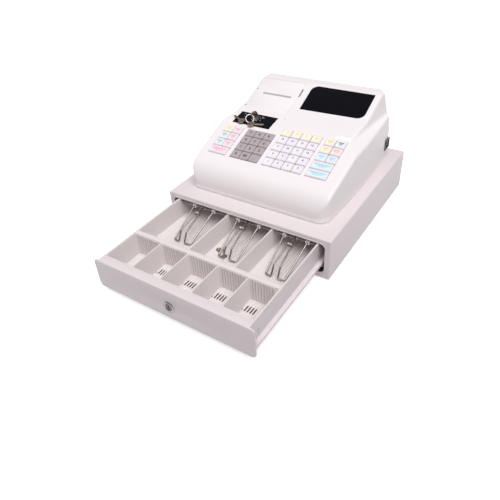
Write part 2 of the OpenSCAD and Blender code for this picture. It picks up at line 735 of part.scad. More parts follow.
module till_tray() drawer() color("white")
    difference() {
        block([-tray_x, tray_y[0], tray_z[0]], [tray_x, tray_y[1], tray_z[1]]);
        pockets(coin_walls, tray_y[0] + tray_wall, coin_end, coin_floor);
        for (x = concat([-tray_x + tray_wall / 2], coin_walls)) floor_slots(x + tray_wall / 2);
        pockets(bill_walls, coin_end + cross_t, tray_y[1] - tray_wall, bill_floor);
        rod(-tray_x - 1, tray_x + 1, rod_at, rod_r + fit);
    }

module clip_rod() drawer() color("silver") rod(-tray_x + 0.3, tray_x - 0.3, rod_at, rod_r);

// A wire clip that holds bills down: two outer legs, feet, two inner legs and a coil on a bar
module bill_clip(x) drawer() color("silver") {
    r = clip_wire / 2;
    y0 = rod_at[0];
    z0 = rod_at[1];
    foot = [y0 - 72, bill_floor + 2.6]; // Y and Z of the feet
    leg = 21.5;
    difference() {
        union() {
            both_at(x) {
                block([leg - 3.5, y0 - 3.5, z0 - 3.5], [leg + 3.5, y0 + 3.5, z0 + 3.5]);
                wire([leg, y0 - 3, z0], [17.5, foot[0], foot[1]], r);
                wire([17.5, foot[0], foot[1]], [6, foot[0] - 2, foot[1]], r);
                wire([6, foot[0] - 2, foot[1]], [6, foot[0] + 8, z0 - 11], r);
                wire([6, foot[0] + 8, z0 - 11], [4, y0 - 27, z0 + 0.5], r);
                wire([4, y0 - 27, z0 + 0.5], [4, y0 - 22, z0 + 1.5], r);
            }
            rod(x - 5, x + 5, [y0 - 22, z0 + 1.2], 4.4);
            wire([x, y0 - 18, z0 + 2.6], [x, y0 - 2, z0 + 1.6], r);
            rod(x - 4, x + 4, [y0, z0], 3.2);
        }
        rod(x - 30, x + 30, rod_at, rod_r + fit);
    }
}
module both_at(x) { translate([x, 0, 0]) { children(); mirror([1, 0, 0]) children(); } }

module drawer_lock() drawer() color("silver")
    translate([lock_at[0], 0, lock_at[1]]) rotate([-90, 0, 0]) difference() {
        union() {
            translate([0, 0, -lock_proud]) cylinder(h = lock_proud, r = 10);
            cylinder(h = 9.5, r = lock_r);
        }
        translate([0, 0, -5]) cylinder(h = 20, r = 6 + fit);
    }

module drawer_lock_plug() drawer() color("silver")
    translate([lock_at[0], 0, lock_at[1]]) {
        rotate([-90, 0, 0]) difference() {
            translate([0, 0, -lock_proud + 0.5]) cylinder(h = lock_proud + 9.5, r = 6);
            translate([-0.6, -3.5, -lock_proud - 1]) cube([1.2, 7, 4]);
        }
        // cam that turns behind the front panel
        block([-4, 9.9, -12], [4, 11.4, 5]);
    }

// Two small keys left on the floor of the middle bill compartment, under the clip's feet
module drawer_keys() drawer() color("darkgoldenrod")
    for (k = [[-19, 156, -51], [-0.2, 145.6, 130]])
        translate([k[0], k[1], bill_floor]) rotate([0, 0, k[2]]) linear_extrude(1) difference() {
            union() {
                circle(r = 5);
                translate([4, -1.6]) square([16, 3.2]);
                for (x = [12, 16]) translate([x, 0.5]) square([2, 1.5]);
            }
            translate([-1.5, 0]) circle(r = 1.6);
        }

// ---- Keys ----

// The cap at column c and row r of a block, cols wide and rows long
module cap(b, c, r, cols = 1, rows = 1) {
    x0 = b[0] - b[1] * pitch_x / 2 + c * pitch_x + key_gap / 2;
    s0 = s_low + r * pitch_s + key_gap / 2;
    w = cols * pitch_x - key_gap;
    l = rows * pitch_s - key_gap;
    on_deck(x0, s0) {
        translate([0, 0, -key_deep]) cube([w, l, key_deep + key_proud - 1]);
        translate([0.9, 0.9, key_proud - 1 - eps]) cube([w - 1.8, l - 1.8, 1]);
    }
}
module numeric(c, r) { place() color("rosybrown") cap(block_b, c, r); }
module column(b, c, r0, r1, tint) { place() color(tint) for (r = [r0:r1]) cap(b, c, r); }

module key_7() numeric(0, 3);
module key_8() numeric(1, 3);
module key_9() numeric(2, 3);
module key_4() numeric(0, 2);
module key_5() numeric(1, 2);
module key_6() numeric(2, 2);
module key_1() numeric(0, 1);
module key_2() numeric(1, 1);
module key_3() numeric(2, 1);
module key_0() numeric(0, 0);
module key_00() numeric(1, 0);
module key_point() numeric(2, 0);
module function_keys_left() column(block_a, 0, 1, 3, "powderblue");
module function_keys_right() column(block_a, 1, 1, 3, "lightpink");
module function_key_wide() place() color("lightpink") cap(block_a, 0, 0, 2);
module department_keys(c) column(block_c, c, 0, 4, "ghostwhite");
module total_keys_left() column(block_d, 0, 2, 4, "lightyellow");
module total_keys_right() column(block_d, 1, 2, 4, "lightblue");
module total_keys_wide() place() color("lightblue") for (r = [0, 1]) cap(block_d, 0, r, 2);

cabinet_shell();
cabinet_base();
cabinet_feet();
slide_rails();
latch_solenoid();
kick_spring();
lower_case();
upper_case();
case_screws();
keyboard_board();
main_board();
transformer();
display_window();
mode_panel();
mode_lock();
printer_frame();
switch_bezel();
mains_inlet();
drawer_front();
drawer_pan();
till_tray();
clip_rod();
drawer_lock();
drawer_keys();
drawer_lock_plug();
bill_clip(clip_x[0]);  // bill_clip_left
bill_clip(clip_x[1]);  // bill_clip_middle
bill_clip(clip_x[2]);  // bill_clip_right
latch_hook();
mode_key();
spare_keys();
printer_cover();
tear_bar();
platen_roller();
paper_roll();
power_rocker();
cabinet_rollers();
drawer_rollers();
key_7();
key_8();
key_9();
key_4();
key_5();
key_6();
key_1();
key_2();
key_3();
key_0();
key_00();
key_point();
function_keys_left();
function_keys_right();
function_key_wide();
department_keys(0);  // department_keys_1
department_keys(1);  // department_keys_2
department_keys(2);  // department_keys_3
department_keys(3);  // department_keys_4
total_keys_left();
total_keys_right();
total_keys_wide();
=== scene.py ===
import math

import bmesh
import bpy
import numpy as np
from mathutils import Matrix, Vector


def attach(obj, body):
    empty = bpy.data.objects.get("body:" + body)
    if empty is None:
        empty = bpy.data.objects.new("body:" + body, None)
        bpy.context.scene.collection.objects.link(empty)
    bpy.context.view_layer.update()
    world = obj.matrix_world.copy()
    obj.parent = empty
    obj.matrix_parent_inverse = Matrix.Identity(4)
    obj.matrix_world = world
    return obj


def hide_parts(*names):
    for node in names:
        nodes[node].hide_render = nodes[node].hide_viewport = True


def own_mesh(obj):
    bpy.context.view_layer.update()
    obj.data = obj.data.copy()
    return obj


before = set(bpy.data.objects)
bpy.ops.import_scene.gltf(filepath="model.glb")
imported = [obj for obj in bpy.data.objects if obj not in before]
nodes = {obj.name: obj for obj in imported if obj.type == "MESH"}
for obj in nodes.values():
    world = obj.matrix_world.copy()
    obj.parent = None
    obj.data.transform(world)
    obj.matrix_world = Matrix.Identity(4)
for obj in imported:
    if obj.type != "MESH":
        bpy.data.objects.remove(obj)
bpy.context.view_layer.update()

# Everything is drawn in millimetres, in the frame of the cabinet or of the drawer,
# and these matrices bring it to the shared frame in metres.
toMetres = Matrix.Scale(0.001, 4)
cabinetFrame = toMetres @ Matrix.Translation((0, -67.35, 3))
drawerFrame = toMetres @ Matrix.Translation((0, -274.85, 3))


def turned(at, degrees, axis="X"):
    return Matrix.Translation(at) @ Matrix.Rotation(math.radians(degrees), 4, axis)


still = Matrix.Identity(4)
deckTilt = turned((0, 105.5, 146), 19.5)
panelTilt = turned((0, 154, 164), 10.6)
slopeTilt = turned((0, 231, 177), 24)


def placed(name, data):
    holder = bpy.data.objects.new(name, data)
    bpy.context.scene.collection.objects.link(holder)
    return holder


# ---- camera, lights and floor ----

cameraPlace = {
    "azimuth": 36.67,
    "elevation": 36.62,
    "roll": -4.77,
    "at": (0.4028, -0.63515, 0.5551),
    "lens": 35.231,
    "shift": (0.03, -0.03),
}


def makeCamera(place):
    az, el, roll = (math.radians(place[k]) for k in ("azimuth", "elevation", "roll"))
    back = Vector((math.sin(az) * math.cos(el), -math.cos(az) * math.cos(el), math.sin(el)))
    right = (-back).cross(Vector((0, 0, 1))).normalized()
    up = right.cross(-back)
    turnedRight = right * math.cos(roll) + up * math.sin(roll)
    turnedUp = up * math.cos(roll) - right * math.sin(roll)
    camera = placed("camera", bpy.data.cameras.new("camera"))
    pose = Matrix((turnedRight, turnedUp, back)).transposed().to_4x4()
    pose.translation = place["at"]
    camera.matrix_world = pose
    camera.data.sensor_width = 36
    camera.data.lens = place["lens"]
    camera.data.shift_x, camera.data.shift_y = place["shift"]
    camera.data.clip_start = 0.01
    camera.data.clip_end = 50
    bpy.context.scene.camera = camera


makeCamera(cameraPlace)

studio = {
    "sky": 0.38,
    "skyColour": (1.0, 0.97, 0.98, 1),
    "lamp": {"power": 2.55, "from": (0.27, -0.25, 0.9), "angle": 50, "colour": (1.0, 0.985, 0.985)},
    "floorColour": (0.93, 0.925, 0.93, 1),
    "floorGlow": 0.42,
    "backdrop": {"radius": 8.5, "height": 7.0, "colour": (0.9, 0.895, 0.9, 1), "glow": 1.13},
}


def makeStudio(v):
    # one very wide overhead lamp, so that every shadow is soft
    scene = bpy.context.scene
    world = bpy.data.worlds.new("studio")
    world.use_nodes = True
    sky = world.node_tree.nodes["Background"].inputs
    sky["Color"].default_value = v["skyColour"]
    sky["Strength"].default_value = v["sky"]
    scene.world = world
    scene.view_settings.view_transform = "Standard"
    scene.view_settings.look = "None"
    lamp = bpy.data.lights.new("overhead", "SUN")
    lamp.energy = v["lamp"]["power"]
    lamp.angle = math.radians(v["lamp"]["angle"])
    lamp.color = v["lamp"]["colour"]
    holder = placed("overhead", lamp)
    holder.rotation_mode = "QUATERNION"
    holder.rotation_quaternion = Vector(v["lamp"]["from"]).to_track_quat("Z", "Y")


makeStudio(studio)
print("camera and studio ready")


# ---- node trees as Python expressions ----

class Wire:
    # one output socket; arithmetic on it adds Math nodes
    def __init__(self, hand, socket):
        self.hand = hand
        self.socket = socket

    def maths(self, operation, first, second):
        return self.hand.node("ShaderNodeMath", {0: first, 1: second}, {"operation": operation})

    def __add__(self, other):
        return self.maths("ADD", self, other)

    def __radd__(self, other):
        return self.maths("ADD", other, self)

    def __sub__(self, other):
        return self.maths("SUBTRACT", self, other)

    def __mul__(self, other):
        return self.maths("MULTIPLY", self, other)

    def __gt__(self, other):
        return self.maths("GREATER_THAN", self, other)

    def __lt__(self, other):
        return self.maths("LESS_THAN", self, other)


class Hand:
    # adds nodes to one tree
    def __init__(self, tree):
        self.tree = tree

    def node(self, kind, inputs=None, settings=None, out=0):
        made = self.tree.nodes.new(kind)
        for key, value in (settings or {}).items():
            setattr(made, key, value)
        for key, value in (inputs or {}).items():
            if isinstance(value, Wire):
                self.tree.links.new(value.socket, made.inputs[key])
            else:
                made.inputs[key].default_value = value
        return Wire(self, made.outputs[out]) if made.outputs else made

    def colours(self, factor, first, second):
        return self.node("ShaderNodeMix", {0: factor, 6: first, 7: second}, {"data_type": "RGBA"}, 2)

    def noise(self, where, scale, detail=3.0, roughness=0.55):
        return self.node("ShaderNodeTexNoise", {
            "Vector": where, "Scale": scale, "Detail": detail, "Roughness": roughness})

    def bump(self, height, strength, depth):
        return self.node("ShaderNodeBump", {"Strength": strength, "Distance": depth, "Height": height})


def newFinish(name):
    material = bpy.data.materials.new(name)
    material.use_nodes = True
    material.node_tree.nodes.clear()
    hand = Hand(material.node_tree)
    hand.material = material
    return hand, hand.node("ShaderNodeTexCoord", out="Object")


def closeFinish(hand, inputs, preview):
    shader = hand.node("ShaderNodeBsdfPrincipled", inputs)
    hand.node("ShaderNodeOutputMaterial", {"Surface": shader})
    hand.material.diffuse_color = preview
    return hand.material


def rgb(red, green, blue):
    return (red, green, blue, 1.0)


# a smooth or grained coat: slow change of colour, fine grain in the bump
def coatFinish(name, colour, tint, rough=0.4, spread=0.08, patch=14.0, grain=900.0, depth=0.00004,
               strength=0.25, metal=0.0, coat=0.0, dust=0.0):
    hand, spot = newFinish(name)
    clouds = hand.noise(spot, patch)
    fine = hand.noise(spot, grain, 2.0)
    base = hand.colours(clouds, colour, tint)
    if dust:
        specks = hand.noise(spot, 260.0, 4.0, 0.7) > 0.72
        base = hand.colours(specks * dust, base, rgb(0.32, 0.29, 0.27))
    return closeFinish(hand, {
        "Base Color": base,
        "Roughness": (clouds - 0.5) * spread + rough + (fine - 0.5) * (spread * 0.5),
        "Metallic": metal,
        "Coat Weight": coat,
        "Coat Roughness": 0.08,
        "Normal": hand.bump(fine, strength, depth),
    }, colour)


# drawn or ground metal: scratches, stretched along an axis
def brushedFinish(name, colour, tint, rough, stretch, depth=0.00002, strength=0.35):
    hand, spot = newFinish(name)
    along = hand.node("ShaderNodeMapping", {"Vector": spot, "Scale": stretch})
    lines = hand.noise(along, 40.0, 5.0, 0.7)
    stains = hand.noise(spot, 30.0, 4.0)
    return closeFinish(hand, {
        "Base Color": hand.colours(stains, colour, tint),
        "Roughness": (lines - 0.5) * 0.22 + rough + (stains - 0.5) * 0.12,
        "Metallic": 1.0,
        "Normal": hand.bump(lines, strength, depth),
    }, colour)


def boardFinish(name):
    # green solder mask with tracks and tinned pads
    hand, spot = newFinish(name)
    tracks = hand.node("ShaderNodeTexBrick", {
        "Vector": spot, "Scale": 90.0, "Mortar Size": 0.06, "Mortar Smooth": 0.1, "Brick Width": 1.7,
        "Row Height": 0.28}, {"offset": 0.5, "squash": 0.6, "squash_frequency": 3}, 1)
    pads = hand.node("ShaderNodeTexVoronoi", {"Vector": spot, "Scale": 190.0}) < 0.2
    base = hand.colours(tracks, rgb(0.008, 0.07, 0.03), rgb(0.02, 0.15, 0.06))
    return closeFinish(hand, {
        "Base Color": hand.colours(pads, base, rgb(0.62, 0.6, 0.55)),
        "Roughness": 0.32 + pads * 0.12,
        "Metallic": pads,
        "Normal": hand.bump(tracks, 0.5, 0.00008),
    }, rgb(0.01, 0.1, 0.04))


def paperFinish(name):
    # wound layers show as fine rings on the ends of the roll
    hand, spot = newFinish(name)
    fibres = hand.noise(spot, 1400.0, 4.0, 0.7)
    centre = (0.16865, 0.141)
    fromCore = hand.node("ShaderNodeMapping", {
        "Vector": spot, "Location": (0, -centre[0], -centre[1]), "Scale": (0, 1, 1)})
    reach = hand.node("ShaderNodeVectorMath", {0: fromCore}, {"operation": "LENGTH"}, 1)
    rings = hand.node("ShaderNodeMath", {0: reach * 9000.0}, {"operation": "SINE"})
    base = hand.colours(rings * 0.1 + fibres * 0.3, rgb(0.86, 0.85, 0.82), rgb(0.7, 0.69, 0.66))
    return closeFinish(hand, {
        "Base Color": base, "Roughness": 0.8 + fibres * 0.1, "Normal": hand.bump(fibres, 0.3, 0.00005),
    }, rgb(0.85, 0.84, 0.8))


def glassFinish(name, colour, tint):
    # tinted window: polished, with a faint haze
    hand, spot = newFinish(name)
    haze = hand.noise(spot, 60.0, 4.0, 0.6)
    return closeFinish(hand, {
        "Base Color": hand.colours(haze, colour, tint),
        "Roughness": haze * 0.08 + 0.06,
        "Specular IOR Level": 0.05,
    }, colour)


paint = {
    "housing": coatFinish("case_plastic", rgb(0.872, 0.832, 0.842), rgb(0.842, 0.798, 0.81), 0.38,
                          patch=9, grain=1500, depth=0.00003, strength=0.2, dust=0.04),
    "steelPaint": coatFinish("painted_steel", rgb(0.745, 0.682, 0.7), rgb(0.71, 0.647, 0.665), 0.42,
                             patch=8, grain=620, depth=0.00008, strength=0.3, dust=0.06),
    "zinc": brushedFinish("zinc_steel", rgb(0.56, 0.55, 0.54), rgb(0.44, 0.43, 0.43), 0.42, (20, 3, 20)),
    "brightSteel": brushedFinish("bright_steel", rgb(0.46, 0.43, 0.41), rgb(0.31, 0.29, 0.28), 0.26,
                                 (8, 8, 8)),
    "nickel": brushedFinish("nickel", rgb(0.36, 0.34, 0.34), rgb(0.22, 0.21, 0.21), 0.22, (12, 60, 12)),
    # near-black nickel for the lock plug: painted shade of the lock's recessed centre
    "wornNickel": brushedFinish("shaded_nickel", rgb(0.14, 0.13, 0.13), rgb(0.075, 0.07, 0.07), 0.28,
                                (30, 30, 30)),
    "iron": coatFinish("iron_core", rgb(0.13, 0.12, 0.12), rgb(0.08, 0.075, 0.07), 0.5, metal=0.6),
    "brass": brushedFinish("key_brass", rgb(0.46, 0.39, 0.33), rgb(0.25, 0.21, 0.175), 0.38, (30, 30, 30)),
    "foot": coatFinish("foot_rubber", rgb(0.04, 0.04, 0.042), rgb(0.06, 0.058, 0.057), 0.75, strength=0.4),
    "rubber": coatFinish("black_rubber", rgb(0.025, 0.025, 0.026), rgb(0.05, 0.048, 0.046), 0.68),
    "roller": coatFinish("roller_plastic", rgb(0.72, 0.7, 0.66), rgb(0.62, 0.6, 0.56), 0.5),
    "board": boardFinish("circuit_board"),
    "window": glassFinish("dark_window", rgb(0.004, 0.004, 0.006), rgb(0.007, 0.007, 0.01)),
    "black": coatFinish("black_plastic", rgb(0.012, 0.011, 0.013), rgb(0.022, 0.02, 0.022), 0.36, grain=1200),
    "paper": paperFinish("paper"),
    "tray": coatFinish("tray_plastic", rgb(0.765, 0.715, 0.715), rgb(0.725, 0.675, 0.675), 0.5,
                       patch=11, grain=1100, strength=0.25, dust=0.05),
    # darker tray colour for strips laid along the grooves between ribs: painted shade
    "trayShade": coatFinish("tray_groove_painted_shade", rgb(0.58, 0.52, 0.52), rgb(0.52, 0.46, 0.46), 0.6, patch=40,
                            grain=1100, strength=0.25, dust=0.1),
    "guide": coatFinish("guide_plastic", rgb(0.46, 0.43, 0.435), rgb(0.4, 0.375, 0.38), 0.5),
    "plug": coatFinish("grey_plug", rgb(0.36, 0.34, 0.35), rgb(0.29, 0.27, 0.28), 0.5),
    "label": coatFinish("bare_label", rgb(0.95, 0.945, 0.95), rgb(0.93, 0.925, 0.93), 0.45, strength=0.1),
    "satinSteel": brushedFinish("satin_steel", rgb(0.78, 0.76, 0.74), rgb(0.66, 0.64, 0.62), 0.46,
                                (14, 14, 14)),
    # near-black for the inside of slots and the keyway: painted shade
    "slotDark": coatFinish("slot_dark", rgb(0.02, 0.018, 0.018), rgb(0.035, 0.03, 0.03), 0.8),
    "ink": coatFinish("printed_ink", rgb(0.045, 0.04, 0.05), rgb(0.075, 0.068, 0.08), 0.6, strength=0.1),
    "whiteInk": coatFinish("white_ink", rgb(0.72, 0.72, 0.72), rgb(0.6, 0.6, 0.62), 0.5, strength=0.1),
    "collar": coatFinish("collar_plastic", rgb(0.86, 0.85, 0.84), rgb(0.8, 0.79, 0.77), 0.42),
}

keyPaint = {
    "grey": (rgb(0.46, 0.41, 0.43), rgb(0.4, 0.355, 0.375)),
    "white": (rgb(0.88, 0.86, 0.9), rgb(0.82, 0.8, 0.86)),
    "lavender": (rgb(0.86, 0.82, 0.91), rgb(0.81, 0.76, 0.87)),
    "pink": (rgb(0.9, 0.77, 0.83), rgb(0.87, 0.7, 0.78)),
    "paleTeal": (rgb(0.82, 0.89, 0.89), rgb(0.76, 0.84, 0.84)),
    "paleYellow": (rgb(0.92, 0.89, 0.7), rgb(0.88, 0.85, 0.62)),
    "paleGreen": (rgb(0.83, 0.9, 0.87), rgb(0.78, 0.86, 0.82)),
    "rose": (rgb(0.92, 0.8, 0.79), rgb(0.88, 0.74, 0.74)),
    "blue": (rgb(0.76, 0.87, 0.93), rgb(0.7, 0.82, 0.9)),
}
for shade, (first, second) in keyPaint.items():
    paint[shade] = coatFinish("key_" + shade, first, second, 0.34, patch=30, grain=1300, strength=0.15)
paint["clearCap"] = coatFinish("key_cap_edge", rgb(0.84, 0.8, 0.83), rgb(0.78, 0.74, 0.78), 0.25,
                               strength=0.1, coat=0.3)
print("finishes ready:", len(paint))


# ---- mesh helpers ----

def roundedLoop(x0, y0, x1, y1, radius, steps=4, inset=0.0):
    # corner points of a rectangle, counter-clockwise; radius is one number or four
    x0, y0, x1, y1 = x0 + inset, y0 + inset, x1 - inset, y1 - inset
    radii = radius if isinstance(radius, (list, tuple)) else [radius] * 4
    corners = [(x1, y0, -1, 1, -90), (x1, y1, -1, -1, 0), (x0, y1, 1, -1, 90), (x0, y0, 1, 1, 180)]
    loop = []
    for (cx, cy, sx, sy, a0), r in zip(corners, radii):
        for i in range(steps + 1):
            a = math.radians(a0 + 90 * i / steps)
            loop.append((cx + sx * r + r * math.cos(a), cy + sy * r + r * math.sin(a)))
    return loop


def loft(shape, loops, material=0, closeStart=True, closeEnd=True):
    rings = [[shape.verts.new(p) for p in loop] for loop in loops]
    for lower, upper in zip(rings, rings[1:]):
        for i in range(len(lower)):
            j = (i + 1) % len(lower)
            shape.faces.new((lower[i], lower[j], upper[j], upper[i])).material_index = material
    if closeStart:
        shape.faces.new(rings[0][::-1]).material_index = material
    if closeEnd:
        shape.faces.new(rings[-1]).material_index = material


def circle(cx, cy, r, steps=28):
    angles = (2 * math.pi * i / steps for i in range(steps))
    return [(cx + r * math.cos(a), cy + r * math.sin(a)) for a in angles]


def lathe(shape, profile, turn, steps=40, ring=False):
    # profile points are (radius, height) along local Z; a ring closes on itself
    points = list(profile) + ([profile[0]] if ring else [])
    loops = [[turn @ Vector((x, y, h)) for x, y in circle(0, 0, r, steps)] for r, h in points]
    loft(shape, loops, 0, not ring, not ring)


def sweep(shape, path, radius, sides=10, closed=False, material=0, flat=1.0):
    # a tube along a path, carried without twist
    path = [Vector(p) for p in path]
    count = len(path)
    loops = []
    side = None
    for i, point in enumerate(path):
        before = path[(i - 1) % count] if closed or i else point
        after = path[(i + 1) % count] if closed or i < count - 1 else point
        along = (after - before).normalized()
        if side is None:
            side = along.orthogonal().normalized() if flat == 1.0 else Vector((0, 0, 1))
        side = (side - along * side.dot(along)).normalized()
        other = along.cross(side)
        loops.append([point + (side * math.cos(a) * flat + other * math.sin(a)) * radius
                      for a in (2 * math.pi * k / sides for k in range(sides))])
    if closed:
        loops.append(loops[0])
    loft(shape, loops, material, not closed, not closed)


def softCorner(start, corner, end, steps):
    return [start * (1 - t) ** 2 + corner * (2 * t * (1 - t)) + end * t ** 2
            for t in (i / steps for i in range(steps + 1))]


def softPath(points, radius, steps=6):
    # rounds the bends of a wire
    points = [Vector(p) for p in points]
    path = [points[0]]
    for before, corner, after in zip(points, points[1:], points[2:]):
        inward = (before - corner).normalized()
        outward = (after - corner).normalized()
        half = inward.angle(outward) / 2
        reach = min(radius / max(math.tan(half), 0.05), (before - corner).length * 0.45,
                    (after - corner).length * 0.45)
        path += softCorner(corner + inward * reach, corner, corner + outward * reach, steps)
    path.append(points[-1])
    return path


def stack(shape, levels, outlineAt, turn=still, material=0, closeStart=True, closeEnd=True):
    # flat outlines over one another; a level is a height and the outline's inset there
    loft(shape, [[turn @ Vector((x, y, z)) for x, y in outlineAt(inset)] for z, inset in levels],
         material, closeStart, closeEnd)


def prism(shape, outline, z0, z1, turn=still):
    stack(shape, [(z0, 0), (z1, 0)], lambda inset: outline, turn)


def boxInto(shape, low, high, turn=still):
    prism(shape, [(low[0], low[1]), (high[0], low[1]), (high[0], high[1]), (low[0], high[1])],
          low[2], high[2], turn)


def easedLevels(low, high, edge, steps):
    # levels that round the lower and the upper edge
    arcs = [math.pi / 2 * i / steps for i in range(steps + 1)]
    rounding = [(edge * (1 - math.sin(a)), edge * (1 - math.cos(a))) for a in arcs]
    lower = [(low + rise, inset) for rise, inset in reversed(rounding)]
    return lower + [(high - fall, inset) for fall, inset in rounding]


def softBox(shape, low, high, radius, turn=still, material=0, steps=3):
    # a box with all its edges rounded
    def outlineAt(inset):
        return roundedLoop(*low[:2], *high[:2], max(radius - inset, radius * 0.05), steps, inset)

    stack(shape, easedLevels(low[2], high[2], radius, steps), outlineAt, turn, material)


def softSlab(shape, outline, z0, z1, edge, steps=3):
    # a plate with a rounded outline edge; the outline shrinks towards its own inside
    points = np.array(outline)
    ahead = np.roll(points, -1, 0) - points
    behind = points - np.roll(points, 1, 0)
    normals = []
    for a, b in zip(behind, ahead):
        t = a / (np.hypot(*a) or 1) + b / (np.hypot(*b) or 1)
        t = t / (np.hypot(*t) or 1)
        normals.append((t[1], -t[0]))
    normals = np.array(normals)
    stack(shape, easedLevels(z0, z1, edge, steps), lambda inset: points - normals * inset)


def settled(holder):
    # the holder's shape after its modifiers; the holder goes
    depsgraph = bpy.context.evaluated_depsgraph_get()
    result = bpy.data.meshes.new_from_object(holder.evaluated_get(depsgraph), depsgraph=depsgraph)
    bpy.data.objects.remove(holder)
    return result


def curveMesh(curve):
    mesh = settled(placed("outline", curve))
    bpy.data.curves.remove(curve)
    mesh.materials.clear()
    return mesh


def plate(loops, thickness, edge):
    # a flat plate with holes, its edges eased; lies in XY, middle at Z = 0
    curve = bpy.data.curves.new("plate", "CURVE")
    curve.dimensions = "2D"
    curve.fill_mode = "BOTH"
    curve.extrude = thickness / 2 - edge
    curve.bevel_depth = edge
    curve.bevel_resolution = 2
    curve.offset = -edge
    for loop in loops:
        spline = curve.splines.new("POLY")
        spline.points.add(len(loop) - 1)
        for point, (x, y) in zip(spline.points, loop):
            point.co = (x, y, 0, 1)
        spline.use_cyclic_u = True
    return curveMesh(curve)


def absorb(shape, mesh, turn=still, material=0):
    mesh.transform(turn)
    for polygon in mesh.polygons:
        polygon.material_index = material
    shape.from_mesh(mesh)
    bpy.data.meshes.remove(mesh)


def meshOf(shape, finishes=()):
    mesh = bpy.data.meshes.new("work")
    bmesh.ops.remove_doubles(shape, verts=shape.verts, dist=1e-5)
    bmesh.ops.recalc_face_normals(shape, faces=shape.faces)
    shape.to_mesh(mesh)
    shape.free()
    for finish in finishes:
        mesh.materials.append(finish)
    return mesh


def modified(mesh, kind, **settings):
    # the mesh after one modifier
    holder = placed("modified", mesh)
    step = holder.modifiers.new("step", kind)
    for key, value in settings.items():
        setattr(step, key, value)
    result = settled(holder)
    bpy.data.meshes.remove(mesh)
    return result


def cut(body, cutter):
    # exact Boolean difference of two meshes; both are used up
    tool = placed("cutTool", cutter)
    result = modified(body, "BOOLEAN", operation="DIFFERENCE", solver="EXACT", object=tool,
                      material_mode="TRANSFER")
    bpy.data.objects.remove(tool)
    bpy.data.meshes.remove(cutter)
    return result


def carve(body, *strokes):
    # cuts solids away; a stroke is the function that draws one, and its values
    tool = bmesh.new()
    for draw, *values in strokes:
        draw(tool, *values)
    return cut(body, meshOf(tool))


def addPiece(name, mesh, place, finishes, body, stands="", angle=35):
    # finishes are names in paint, and stands the frame's nodes that the piece stands for
    if isinstance(mesh, bmesh.types.BMesh):
        mesh = meshOf(mesh)
    mesh.name = name
    parts = [polygon.material_index for polygon in mesh.polygons]
    mesh.materials.clear()
    for finish in finishes.split():
        mesh.materials.append(paint[finish])
    mesh.polygons.foreach_set("material_index", parts)
    mesh.transform(place)
    mesh.shade_smooth()
    mesh.set_sharp_from_angle(angle=math.radians(angle))
    piece = placed(name, mesh)
    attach(piece, body)
    if stands:
        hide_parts(*stands.split())
    return piece


# ---- Geometry Nodes for what repeats or follows a path ----

def newGroup(name, sockets):
    group = bpy.data.node_groups.new(name, "GeometryNodeTree")
    for label, kind in {"Geometry": "Geometry", **sockets, "Finish": "Material"}.items():
        group.interface.new_socket(label, in_out="INPUT", socket_type="NodeSocket" + kind)
    group.interface.new_socket("Geometry", in_out="OUTPUT", socket_type="NodeSocketGeometry")
    hand = Hand(group)
    given = hand.node("NodeGroupInput")
    wires = {socket.name: Wire(hand, socket) for socket in given.socket.node.outputs}
    return group, hand, wires


def closeGroup(hand, geometry, finish):
    whole = hand.node("GeometryNodeRealizeInstances", {"Geometry": geometry})
    dressed = hand.node("GeometryNodeSetMaterial", {"Geometry": whole, "Material": finish})
    hand.node("NodeGroupOutput", {"Geometry": dressed})


def tube(hand, line, radius, sides):
    ring = hand.node("GeometryNodeCurvePrimitiveCircle", {"Radius": radius, "Resolution": sides})
    return hand.node("GeometryNodeCurveToMesh", {"Curve": line, "Profile Curve": ring, "Fill Caps": True})


def grow(group, points, **values):
    # the tree's result on some points, as a plain mesh
    mesh = bpy.data.meshes.new("points")
    mesh.from_pydata([tuple(p) for p in points], [], [])
    holder = placed("grown", mesh)
    step = holder.modifiers.new("grow", "NODES")
    step.node_group = group
    for item in group.interface.items_tree:
        if item.item_type == "SOCKET" and item.in_out == "INPUT" and item.name in values:
            step[item.identifier] = values[item.name]
    result = settled(holder)
    bpy.data.meshes.remove(mesh)
    return result


def makeRibTree():
    # straight ribs, one from each point
    group, hand, given = newGroup("ribs", {"To": "Vector", "Radius": "Float", "Sides": "Int"})
    line = hand.node("GeometryNodeCurvePrimitiveLine", {"Start": (0, 0, 0), "End": given["To"]})
    rib = tube(hand, line, given["Radius"], given["Sides"])
    many = hand.node("GeometryNodeInstanceOnPoints", {"Points": given["Geometry"], "Instance": rib})
    closeGroup(hand, many, given["Finish"])
    return group


def makeSpringTree():
    # a coil of round wire along Z
    group, hand, given = newGroup("coil", dict.fromkeys(("Turns", "Radius", "Length", "Wire"), "Float"))
    path = hand.node("GeometryNodeCurveSpiral", {
        "Resolution": 26, "Rotations": given["Turns"], "Start Radius": given["Radius"],
        "End Radius": given["Radius"], "Height": given["Length"]})
    closeGroup(hand, tube(hand, path, given["Wire"], 10), given["Finish"])
    return group


def makeRepeatTree():
    # copies of one small part on points
    group, hand, given = newGroup("repeat", {"Part": "Object", "Turn": "Vector"})
    part = hand.node("GeometryNodeObjectInfo", {"Object": given["Part"]}, out="Geometry")
    many = hand.node("GeometryNodeInstanceOnPoints", {
        "Points": given["Geometry"], "Instance": part, "Rotation": given["Turn"]})
    closeGroup(hand, many, given["Finish"])
    return group


ribTree = makeRibTree()
springTree = makeSpringTree()
repeatTree = makeRepeatTree()


def repeatPart(mesh, places, finish):
    # a place is a point and the turn there
    part = placed("part", mesh)
    whole = bmesh.new()
    for at, turn in places:
        absorb(whole, grow(repeatTree, [at], Part=part, Turn=turn, Finish=finish))
    bpy.data.objects.remove(part)
    return whole


# ---- cabinet ----

cabinet = {
    "width": 330.0,
    "depth": 344.0,
    "height": 77.5,
    "sheet": 1.2,
    "topRadius": 3.0,
    "opening": (-155.0, 9.5, 155.0, 68.5),
    "openingRadius": 9.0,
    "rim": 0.9,
    "edge": 1.6,
}


